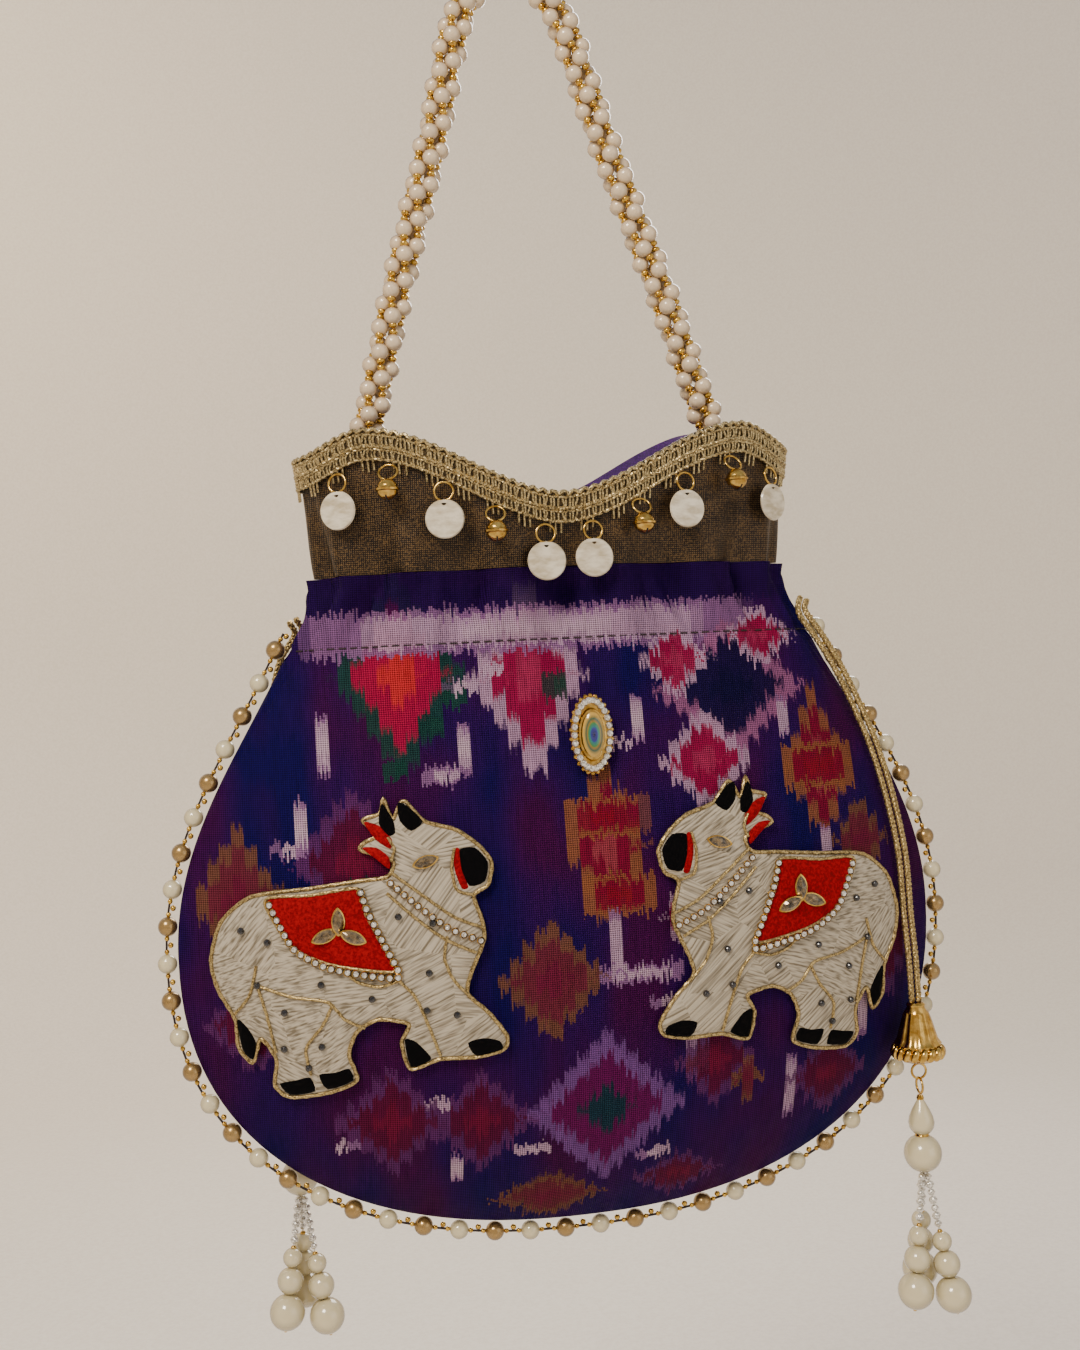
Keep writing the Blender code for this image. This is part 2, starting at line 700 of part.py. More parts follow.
def cow_outline():
    """Return the cow's outline, facing right, in picture units about its middle."""
    head = [(32, 155), (40, 133), (52, 152), (72, 130), (103, 120), (125, 103), (137, 85), (132, 63),
            (117, 53)]
    chest = [(124, 28), (125, 8), (110, -26), (106, -46)]
    fore_legs = [(126, -66), (144, -92), (140, -106), (112, -112), (76, -112), (46, -121), (38, -93),
                 (46, -74)]
    belly = [(16, -68), (-6, -80)]
    hind_legs = [(-15, -104), (-8, -131), (-36, -144), (-76, -149), (-91, -136), (-88, -108)]
    tail = [(-103, -86), (-112, -112), (-126, -96), (-128, -66)]
    back = [(-144, -36), (-150, -5), (-138, 34), (-106, 60), (-46, 67), (4, 73), (32, 76)]
    mane = [(38, 92), (6, 104), (12, 112), (24, 118), (10, 134), (28, 140)]
    return head + chest + fore_legs + belly + hind_legs + tail + back + mane


def saddle_outline():
    """Return the outline of the felt cloth on the cow's back."""
    return [(-84, 60), (-46, 61), (2, 66), (8, 40), (22, 10), (36, -18), (4, -16), (-34, -8), (-68, 10),
            (-92, 52)]


def patch_mesh(name, outline, side, lift, thickness, ground):
    """Cut a patch along an outline and lay it over the front of the body."""
    work = bmesh.new()
    centre_x = COW_PLACES[side]
    flip = math.copysign(1.0, -centre_x)
    vertices = [work.verts.new((centre_x + flip * x * COW_SCALE, 0.0, COW_Z + z * COW_SCALE))
                for x, z in outline]
    face = work.faces.new(vertices)
    bmesh.ops.triangulate(work, faces=[face])
    for _ in range(3):
        long_edges = [edge for edge in work.edges if edge.calc_length() > PATCH_EDGE * 1.5]
        if long_edges:
            bmesh.ops.subdivide_edges(work, edges=long_edges, cuts=1)
            bmesh.ops.triangulate(work, faces=work.faces[:])
    base_verts = list(work.verts)
    base_faces = list(work.faces)
    result = bmesh.ops.extrude_face_region(work, geom=base_faces, use_keep_orig=True)
    raised = [part for part in result["geom"] if isinstance(part, bmesh.types.BMVert)]
    for verts, height in ((base_verts, lift), (raised, lift + thickness)):
        for vert in verts:
            start = Vector((vert.co.x + AXIS_X, -FAR, vert.co.z))
            hit, _, _, _ = ground.ray_cast(start, Vector((0.0, 1.0, 0.0)))
            vert.co = (start.x, hit.y - height, start.z)
    bmesh.ops.recalc_face_normals(work, faces=work.faces)
    mesh = bpy.data.meshes.new(name)
    work.to_mesh(mesh)
    work.free()
    return mesh


def oval_mesh(name, width, height, thickness, sides=20):
    """Build a domed oval that faces -Y."""
    rings = []
    for share, depth in ((1.0, 0.0), (1.0, -0.5), (0.72, -1.0)):
        rings += [Vector((0.5 * width * share * math.cos(TAU * side / sides), depth * thickness,
                          0.5 * height * share * math.sin(TAU * side / sides))) for side in range(sides)]
    faces = band_faces(3, sides)
    faces.append(tuple(range(sides)))
    faces.append(tuple(2 * sides + side for side in range(sides)))
    return mesh_from(name, rings, faces)


def add_brooch(ground, finishes):
    """Add the oval brooch at the middle of the shoulder, with its eye-shaped stone."""
    place = Vector((BROOCH_X, 0.0, BROOCH_Z))
    inward = Vector((0.0, 1.0, 0.0))
    heights = []
    for across in (-0.5, 0.0, 0.5):
        for up in (-0.5, 0.0, 0.5):
            start = place + Vector((across * BROOCH_WIDTH, -FAR, up * BROOCH_HEIGHT))
            heights.append(ground.ray_cast(start, inward)[0].y)
    place.y = min(heights) - GAP * 2
    oval = oval_mesh("setting", BROOCH_WIDTH, BROOCH_HEIGHT, BROOCH_THICKNESS)
    setting = add_object("brooch_setting", oval, finishes["gold"])
    setting.location = place
    oval = oval_mesh("stone", BROOCH_WIDTH * STONE_SHARE[0], BROOCH_HEIGHT * STONE_SHARE[1], STONE_THICKNESS)
    stone = add_object("brooch_stone", oval, finishes["stone"])
    stone.location = place - Vector((0.0, BROOCH_THICKNESS + GAP, 0.0))


def surface_of(item):
    """Return a search tree of an object's faces."""
    return BVHTree.FromPolygons([vert.co for vert in item.data.vertices],
                                [tuple(face.vertices) for face in item.data.polygons])


def main():
    """Build the whole bag."""
    clear_scene()
    finishes = {
        "ikat": finish("ikat_cotton_purple", (0.045, 0.006, 0.115), 0.75),
        "tissue": finish("tissue_antique_gold", (0.10, 0.055, 0.025), 0.5, 0.3),
        "satin": finish("satin_purple", (0.10, 0.01, 0.16), 0.4),
        "lace": finish("lace_gold_thread", (0.36, 0.25, 0.12), 0.45, 0.6),
        "pearl": finish("pearl_cream", (0.78, 0.68, 0.55), 0.22),
        "gold": finish("gold_plate", (0.80, 0.52, 0.16), 0.25, 1.0),
        "shell": finish("shell_white", (0.75, 0.72, 0.62), 0.3),
        "cord": finish("zari_cord", (0.35, 0.26, 0.14), 0.5, 0.5),
        "thread": finish("cotton_thread_white", (0.78, 0.74, 0.64), 0.8),
        "felt": finish("felt_red", (0.60, 0.01, 0.01), 0.9),
        "stone": finish("enamel_blue", (0.02, 0.08, 0.25), 0.15),
    }
    pouch = add_object("pouch", pouch_mesh(), finishes["ikat"])
    ground = surface_of(pouch)
    collar = add_object("collar", collar_mesh(), finishes["tissue"])
    add_object("lining", lining_mesh(), finishes["satin"])
    lace = add_object("lace", lace_mesh(), finishes["lace"])
    add_object("handle", handle_mesh(), finishes["pearl"])
    add_object("seam_beads", seam_beads_mesh(), finishes["pearl"])
    add_charms([surface_of(item) for item in (pouch, collar, lace)], finishes)
    add_cord("front_draw_cord", FRONT_CORD_ROUTE, FRONT_HANG, True, ground, finishes["cord"])
    add_cord("back_draw_cord", BACK_CORD_ROUTE, BACK_HANG, False, ground, finishes["cord"])
    add_tassel("front", FRONT_HANG, finishes)
    add_tassel("back", BACK_HANG, finishes)
    for side in COW_PLACES:
        cow = patch_mesh("cow", cow_outline(), side, COW_GAP, COW_THICKNESS, ground)
        add_object(f"{side}_cow", cow, finishes["thread"])
        lift = COW_GAP + COW_THICKNESS + 2 * GAP
        saddle = patch_mesh("saddle", saddle_outline(), side, lift, SADDLE_THICKNESS, ground)
        add_object(f"{side}_cow_saddle", saddle, finishes["felt"])
    add_brooch(ground, finishes)


main()
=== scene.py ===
"""Potli bag in ikat cotton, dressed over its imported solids.

Every length is in metres, in the bag's own frame: the origin is the grip at the top of
the handle, +Z is up and the front faces -Y. A name that ends in _mm is in millimetres.
"""

from __future__ import annotations

import json
import logging
import math
from collections import Counter
from collections.abc import Sequence
from dataclasses import dataclass, field
from enum import Enum

import bmesh
import bpy
import numpy as np
from mathutils import Matrix, Vector
from mathutils.geometry import delaunay_2d_cdt


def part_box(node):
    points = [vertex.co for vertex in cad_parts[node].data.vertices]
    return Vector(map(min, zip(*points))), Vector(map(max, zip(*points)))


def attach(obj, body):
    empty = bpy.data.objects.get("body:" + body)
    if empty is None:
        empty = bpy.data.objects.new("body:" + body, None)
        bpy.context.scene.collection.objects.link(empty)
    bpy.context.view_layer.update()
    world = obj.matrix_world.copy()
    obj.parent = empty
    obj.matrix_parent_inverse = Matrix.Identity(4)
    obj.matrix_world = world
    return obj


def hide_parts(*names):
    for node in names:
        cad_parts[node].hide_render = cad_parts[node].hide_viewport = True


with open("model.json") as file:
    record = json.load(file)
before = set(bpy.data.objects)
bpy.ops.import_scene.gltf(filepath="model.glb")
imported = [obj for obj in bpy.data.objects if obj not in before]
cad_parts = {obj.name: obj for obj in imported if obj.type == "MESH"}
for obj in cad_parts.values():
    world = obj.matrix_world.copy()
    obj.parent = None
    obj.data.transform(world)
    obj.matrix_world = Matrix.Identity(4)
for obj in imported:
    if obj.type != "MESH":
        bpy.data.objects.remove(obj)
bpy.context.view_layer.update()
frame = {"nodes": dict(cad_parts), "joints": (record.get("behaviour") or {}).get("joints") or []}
LOG = logging.getLogger("potli")
TAU = 2.0 * math.pi
MM = 0.001
UP = Vector((0.0, 0.0, 1.0))
FACING = Vector((0.0, -1.0, 0.0))
BACKWARD = Vector((0.0, 1.0, 0.0))
Point = tuple[float, float]
Socket = bpy.types.NodeSocket


def linear(hex_colour: str) -> tuple[float, float, float, float]:
    """Turn an sRGB hex value into a linear colour.

    Args:
        hex_colour: Six hex digits after a hash.

    Returns:
        The linear red, green, blue and alpha.
    """
    parts = [int(hex_colour[index:index + 2], 16) / 255.0 for index in (1, 3, 5)]
    mixed = [part / 12.92 if part <= 0.04045 else ((part + 0.055) / 1.055) ** 2.4 for part in parts]
    return (mixed[0], mixed[1], mixed[2], 1.0)


class Graph:
    """A material's nodes, with its shader and the places on the bag in millimetres."""

    def __init__(self, name: str) -> None:
        """Make the material.

        Args:
            name: The material's name.
        """
        self.material = bpy.data.materials.new(name)
        self.material.use_nodes = True
        self.tree = self.material.node_tree
        self.shader = self.tree.nodes["Principled BSDF"]
        self.place = self.vector("MULTIPLY", self.add("TexCoord").outputs["Object"], (1.0 / MM,) * 3)

    def add(self, kind: str, links: dict | None = None, **settings: object) -> bpy.types.Node:
        """Add a node with its settings and links.

        Args:
            kind: The node's type name without its ShaderNode prefix.
            links: For each input, an output socket or a plain value.
            settings: Properties set on the node itself.

        Returns:
            The new node.
        """
        node = self.tree.nodes.new("ShaderNode" + kind)
        for name, value in settings.items():
            setattr(node, name, value)
        for key, value in (links or {}).items():
            if isinstance(value, Socket):
                self.tree.links.new(value, node.inputs[key])
            else:
                node.inputs[key].default_value = value
        return node

    def wire(self, name: str, source: Socket) -> None:
        """Let a socket drive one of the shader's inputs."""
        self.tree.links.new(source, self.shader.inputs[name])

    def maths(self, operation: str, *inputs: Socket | float) -> Socket:
        """Add a sum and return its result."""
        return self.add("Math", dict(enumerate(inputs)), operation=operation).outputs[0]

    def vector(self, operation: str, *inputs: Socket | tuple[float, float, float]) -> Socket:
        """Add a sum with vectors and return its result."""
        plain = operation in ("DOT_PRODUCT", "LENGTH")
        node = self.add("VectorMath", dict(enumerate(inputs)), operation=operation)
        return node.outputs["Value" if plain else "Vector"]

    def noise(self, place: Socket, scale: float, detail: float = 2.0, roughness: float = 0.5) -> Socket:
        """Add a noise.

        Args:
            place: Where it is read.
            scale: How many of its grains go to a unit of the place.
            detail: How many finer grains lie on top of it.
            roughness: How strong the finer grains are.

        Returns:
            The noise, from nought to one.
        """
        links = {"Vector": place, "Scale": scale, "Detail": detail, "Roughness": roughness}
        return self.add("TexNoise", links).outputs["Fac"]

    def wave(self, place: Socket, pitch_mm: float, along: str, **links: float) -> Socket:
        """Add a wave.

        Args:
            place: Where it is read.
            pitch_mm: The distance from one crest to the next.
            along: The axis that it runs along.
            links: The other inputs and their values, with _ for a space.

        Returns:
            The wave, from nought to one.
        """
        values = {name.replace("_", " "): value for name, value in links.items()}
        node = self.add("TexWave", {"Vector": place, "Scale": TAU / (20.0 * pitch_mm), **values},
                        bands_direction=along)
        return node.outputs["Fac"]

    def ramp(self, factor: Socket, *stops: tuple[float, str | float]) -> Socket:
        """Add a colour ramp.

        Args:
            factor: What drives the ramp.
            stops: Each stop's place with its colour, or with a grey as a number.

        Returns:
            The colour.
        """
        node = self.add("ValToRGB", {"Fac": factor})
        elements = node.color_ramp.elements
        while len(elements) < len(stops):
            elements.new(0.5)
        for element, (place, tone) in zip(elements, stops):
            element.position = place
            element.color = linear(tone) if isinstance(tone, str) else (tone,) * 4
        return node.outputs["Color"]

    def mix(self, share: Socket | float, under: Socket, over: Socket, blend: str = "MIX") -> Socket:
        """Lay one colour over another and return the result."""
        return self.add("Mix", {"Factor": share, 6: under, 7: over}, data_type="RGBA", blend_type=blend).outputs[2]

    def relief(self, height: Socket, strength: float, depth_mm: float) -> None:
        """Let a height show as relief."""
        bump = self.add("Bump", {"Height": height, "Strength": strength, "Distance": depth_mm * MM})
        self.wire("Normal", bump.outputs["Normal"])


@dataclass(frozen=True)
class Finish:
    """A real material and how its surface was made."""

    name: str
    colour: str
    second: str
    roughness: float
    metallic: float = 0.0
    grain_mm: float = 1.0
    stretch: tuple[float, float, float] = (1.0, 1.0, 1.0)
    bump_mm: float = 0.05
    coat: float = 0.0
    specular: float = 0.5

    def start(self) -> Graph:
        """Make the material with its shader's plain values.

        Returns:
            The material's nodes.
        """
        graph = Graph(self.name)
        for name, value in (("Roughness", self.roughness), ("Metallic", self.metallic),
                            ("Coat Weight", self.coat), ("Specular IOR Level", self.specular)):
            graph.shader.inputs[name].default_value = value
        return graph

    def dress(self) -> bpy.types.Material:
        """Make the material: two tones of a grain at its real size, with the same grain as relief.

        Returns:
            The finished material.
        """
        graph = self.start()
        grain = graph.noise(graph.vector("MULTIPLY", graph.place, self.stretch), 1.0 / self.grain_mm, 3.0, 0.6)
        graph.wire("Base Color", graph.ramp(grain, (0.35, self.second), (0.62, self.colour)))
        graph.relief(grain, 0.6, self.bump_mm)
        return graph.material


@dataclass(frozen=True)
class Weave(Finish):
    """A woven cloth whose warp and weft show as fine relief and as painted light in its colour."""

    thread_mm: float = 0.7
    crease_mm: float = 0.0

    def dress(self) -> bpy.types.Material:
        """Make the cloth, its threads drawn as coarse as they need to show.

        Returns:
            The finished material.
        """
        graph = self.start()
        grain = graph.noise(graph.place, 1.0 / self.grain_mm)
        # Painted light: the crossings of warp and weft, and small glints, are painted lighter in the colour
        lit = graph.maths("MULTIPLY", *self.threads(graph))
        glint = graph.noise(graph.place, 1.1 / self.thread_mm)
        spread = graph.maths("MULTIPLY_ADD", grain, 0.35, glint)
        mixed = graph.maths("MULTIPLY_ADD", lit, 0.45, spread)
        graph.wire("Base Color", graph.ramp(mixed, (0.72, self.second), (1.0, self.colour)))
        self.relieve(graph, lit)
        return graph.material

    def threads(self, graph: Graph) -> tuple[Socket, Socket]:
        """Add the warp and weft waves at the thread spacing."""
        return (graph.wave(graph.place, self.thread_mm, "X", Distortion=0.6),
                graph.wave(graph.place, self.thread_mm, "Z", Distortion=0.6))

    def relieve(self, graph: Graph, threads: Socket) -> None:
        """Add the relief of the threads and of the soft creases, which run upwards."""
        crease = graph.noise(graph.vector("MULTIPLY", graph.place, (1.0, 1.0, 0.4)), 0.11)
        high = graph.maths("MULTIPLY_ADD", crease, self.crease_mm / self.bump_mm, threads)
        graph.relief(high, 0.5, self.bump_mm)


class Form(Enum):
    """How a dyed figure is drawn: pointed on all four sides, or straight-sided."""

    LOZENGE = "lozenge"
    BAR = "bar"


class Motif(Enum):
    """The dyed figures of the ikat: the form, then the colours from the middle out."""

    MAGENTA = (Form.LOZENGE, "#b8305e", "#aa124c", "#cfa4c8")
    SCARLET = (Form.LOZENGE, "#e03038", "#be1448", "#1c4a42")
    LATTICE = (Form.LOZENGE, "#120c40", "#1c0e48", "#b06a9c")
    RUST = (Form.LOZENGE, "#a8404e", "#8e1034", "#a0603e")
    ARM = (Form.BAR, "#96142e", "#8e1034", "#a0603e")
    EMBER = (Form.LOZENGE, "#7c2040", "#7c2e3c", "#84543c")
    MAROON = (Form.LOZENGE, "#7c163e", "#66103c", "#6a3070")
    VIOLET = (Form.LOZENGE, "#1a3a4a", "#720c5c", "#8656a0")
    BAND = (Form.BAR, "#d4b0cc", "#c8a0c4", "#9a6aa0")
    BAR = (Form.BAR, "#dcbad2", "#d0aaca", "#a070a6")
    TEAL = (Form.BAR, "#1c4a42", "#1c4a42", "#183e40")
    GROUND = (Form.BAR, "#2c0450", "#26034e", "#26034e")


# Each figure's middle across and up, then half its width and half its height, all in millimetres. A later
# one lies over an earlier one.
FIGURES = (
    (Motif.SCARLET, -46, -214, 19, 31), (Motif.MAGENTA, -9, -216, 17, 31), (Motif.GROUND, -6, -187, 80, 9),
    (Motif.BAND, -6, -202, 68, 6.5), (Motif.TEAL, -31, -221, 4, 3), (Motif.TEAL, -37, -229, 3.6, 3.2),
    (Motif.BAR, -68, -233, 2.6, 9), (Motif.BAR, -29, -236, 2.2, 8), (Motif.BAR, -35, -243, 5, 2.2),
    (Motif.TEAL, -48, -241, 3.6, 3), (Motif.TEAL, -1, -219, 3.4, 3.2), (Motif.LATTICE, 52, -222, 25, 21),
    (Motif.MAGENTA, 35, -213, 12, 12), (Motif.MAGENTA, 63, -207, 13, 10), (Motif.MAGENTA, 42, -243, 15, 16),
    (Motif.RUST, 79, -247, 12, 25), (Motif.ARM, 79, -247, 13, 6.5), (Motif.BAR, 78, -272, 2, 7),
    (Motif.EMBER, 92, -270, 10, 14), (Motif.RUST, 10, -266, 12, 27), (Motif.ARM, 10, -257, 12, 5.5),
    (Motif.ARM, 12, -279, 11, 5.5), (Motif.BAR, 12, -293, 2.2, 9.5), (Motif.BAR, 17, -302, 13, 2.4),
    (Motif.EMBER, -8, -302, 16, 18), (Motif.MAROON, -61, -266, 19, 21), (Motif.BAR, -76, -256, 2, 8),
    (Motif.TEAL, -58, -275, 4, 4), (Motif.EMBER, -94, -276, 14, 22), (Motif.MAROON, -92, -312, 14, 14),
    (Motif.MAGENTA, 32, -287, 7, 12), (Motif.BAR, 34, -322, 2.2, 12), (Motif.MAROON, 40, -330, 13, 15),
    (Motif.EMBER, 50, -337, 5, 8), (Motif.BAR, 66, -342, 2, 10), (Motif.MAROON, 78, -340, 15, 14),
    (Motif.VIOLET, 7, -341, 24, 24), (Motif.MAROON, -29, -342, 16, 16), (Motif.BAR, -42, -336, 5, 2),
    (Motif.MAROON, -54, -341, 17, 17), (Motif.BAR, -14, -352, 6, 2), (Motif.BAR, -36, -357, 3, 5),
    (Motif.EMBER, -9, -369, 18, 9), (Motif.MAROON, 30, -366, 15, 8), (Motif.MAROON, 99, -302, 12, 20),
    (Motif.BAR, -20, -213, 4, 1.8), (Motif.BAR, -28, -218, 4.5, 1.8), (Motif.BAR, 14, -236, 6, 1.9),
    (Motif.BAR, 22, -230, 2, 7), (Motif.BAR, 67, -232, 2.2, 6), (Motif.BAR, -79, -262, 4, 2),
    (Motif.BAR, 26, -311, 5, 2), (Motif.BAR, 90, -322, 1.8, 9), (Motif.BAR, 22, -357, 5, 1.8),
    (Motif.BAR, -68, -348, 4, 1.8),
)
# The heights, in millimetres, between which each of the pouch's three materials lies
IKAT_ZONES = {"low": (-400.0, -325.0), "middle": (-325.0, -262.0), "high": (-262.0, 0.0)}


@dataclass(frozen=True)
class IkatCotton(Weave):
    """Cotton woven from warp that was tied and dyed first, so each figure has feathered ends."""

    feather_mm: float = 6.0
    warp_mm: float = 0.55
    step_mm: float = 3.6
    dye_and_thread_light: Point = (0.13, 0.80)
    third: str = "#4a044c"
    zone: Point = (-400.0, 0.0)

    def dress(self) -> bpy.types.Material:
        """Make the dyed cloth: a clouded ground, its figures, the uneven dyeing of each thread and painted light on
        its threads.

        Returns:
            The finished material.
        """
        graph = self.start()
        threaded = graph.vector("SNAP", graph.place, (self.warp_mm, 1000.0, 0.2))
        streak = graph.noise(graph.vector("MULTIPLY", threaded, (2.3, 0.0, 0.11)), 0.8, 3.0, 0.7)
        slide = graph.maths("MULTIPLY", graph.maths("SUBTRACT", streak, 0.5), 2.4 * self.feather_mm)
        shift = graph.add("CombineXYZ", {"Z": slide}).outputs[0]
        moved = graph.vector("ADD", graph.place, shift)
        stepped = graph.vector("SNAP", moved, (self.step_mm, 1000.0, 1.0))
        cloud = graph.noise(graph.vector("MULTIPLY", moved, (0.020, 0.0, 0.010)), 1.6)
        colour = graph.ramp(cloud, (0.38, self.colour), (0.50, self.second), (0.64, self.third))
        low, high = self.zone[0] - 2.0 * self.feather_mm, self.zone[1] + 2.0 * self.feather_mm
        for motif, x, z, half_width, half_height in FIGURES:
            if low <= z + half_height and z - half_height <= high:
                colour = self.figure(graph, stepped, colour, motif, (x, 0.0, z), (half_width, half_height))
        # Painted light: where warp and weft cross, the colour is painted lighter, mixed with each warp thread's
        # uneven dyeing
        lit = graph.maths("ADD", *self.threads(graph))
        fine = graph.maths("MULTIPLY_ADD", streak, 0.45, graph.maths("MULTIPLY", lit, 0.3))
        shade = graph.ramp(fine, *zip((0.30, 0.72), self.dye_and_thread_light))
        graph.wire("Base Color", graph.mix(1.0, colour, shade, "MULTIPLY"))
        self.relieve(graph, lit)
        return graph.material

    @staticmethod
    def figure(graph: Graph, place: Socket, under: Socket, motif: Motif, middle: tuple[float, float, float],
               half: Point) -> Socket:
        """Lay one dyed figure over the colours so far.

        Args:
            graph: The material.
            place: The feathered place in millimetres.
            under: The colour so far.
            motif: Which figure it is.
            middle: Its middle, in millimetres.
            half: Half its width and half its height, in millimetres.

        Returns:
            The colour with the figure on it.
        """
        form, core, body, edge = motif.value
        folded = graph.vector("ABSOLUTE", graph.vector("SUBTRACT", place, middle))
        weights = (0.5 / half[0], 0.0, 0.5 / half[1])
        if form is Form.LOZENGE:
            reach = graph.vector("DOT_PRODUCT", folded, weights)
        else:
            split = graph.add("SeparateXYZ", {"Vector": graph.vector("MULTIPLY", folded, weights)}).outputs
            reach = graph.maths("MAXIMUM", split["X"], split["Z"])
        colours = graph.ramp(reach, (0.0, core), (0.14, core), (0.18, body), (0.34, body), (0.38, edge),
                             (0.49, edge))
        share = graph.ramp(reach, (0.0, 1.0), (0.47, 0.85), (0.50, 0.0))
        return graph.mix(share, under, colours)


@dataclass(frozen=True)
class Pearl(Finish):
    """A lacquered pearl, its colour painted bright facing the eye and darker to its edge as painted shade and dark
    reflection.
    """

    specular: float = 0.8

    def dress(self) -> bpy.types.Material:
        """Make the pearl, with painted shade and dark reflection towards its edge.

        Returns:
            The finished material.
        """
        graph = self.start()
        # Painted shade and dark reflection: the colour turns darker as the surface turns away from the eye
        facing = graph.add("LayerWeight", {"Blend": 0.35}).outputs["Facing"]
        graph.wire("Base Color", graph.ramp(facing, (0.1, self.colour), (0.85, self.second)))
        grain = graph.noise(graph.place, 1.0 / self.grain_mm)
        graph.wire("Roughness", graph.ramp(grain, (0.3, self.roughness), (0.8, self.roughness * 1.6)))
        return graph.material


@dataclass(frozen=True)
class SatinStitch(Finish):
    """Satin stitch: rows of thread side by side, whose direction turns from part to part."""

    thread_mm: float = 0.5

    def dress(self) -> bpy.types.Material:
        """Make the stitched surface, with painted shade between its threads.

        Returns:
            The finished material.
        """
        graph = self.start()
        cells = graph.add("TexVoronoi", {"Vector": graph.place, "Scale": 1.0 / self.grain_mm, "Randomness": 0.8})
        split = graph.add("SeparateXYZ", {"Vector": cells.outputs["Color"]}).outputs
        turn = graph.maths("MULTIPLY_ADD", split["X"], 1.5, -0.5)
        turned = graph.add("VectorRotate", {"Vector": graph.place, "Angle": turn},
                           rotation_type="Y_AXIS").outputs[0]
        rows = graph.wave(turned, self.thread_mm, "Z", Distortion=0.8, Detail=1.0, Detail_Scale=0.2)
        strands = graph.noise(graph.vector("MULTIPLY", turned, (0.03, 1.0, 2.0)), 0.9, 1.5)
        height = graph.maths("MULTIPLY_ADD", rows, 0.10, strands)
        # Painted shade: the colour is darker where the rows and strands lie low, between the threads
        graph.wire("Base Color", graph.ramp(height, (0.36, self.second), (0.64, self.colour)))
        graph.relief(height, 0.8, self.bump_mm)
        return graph.material


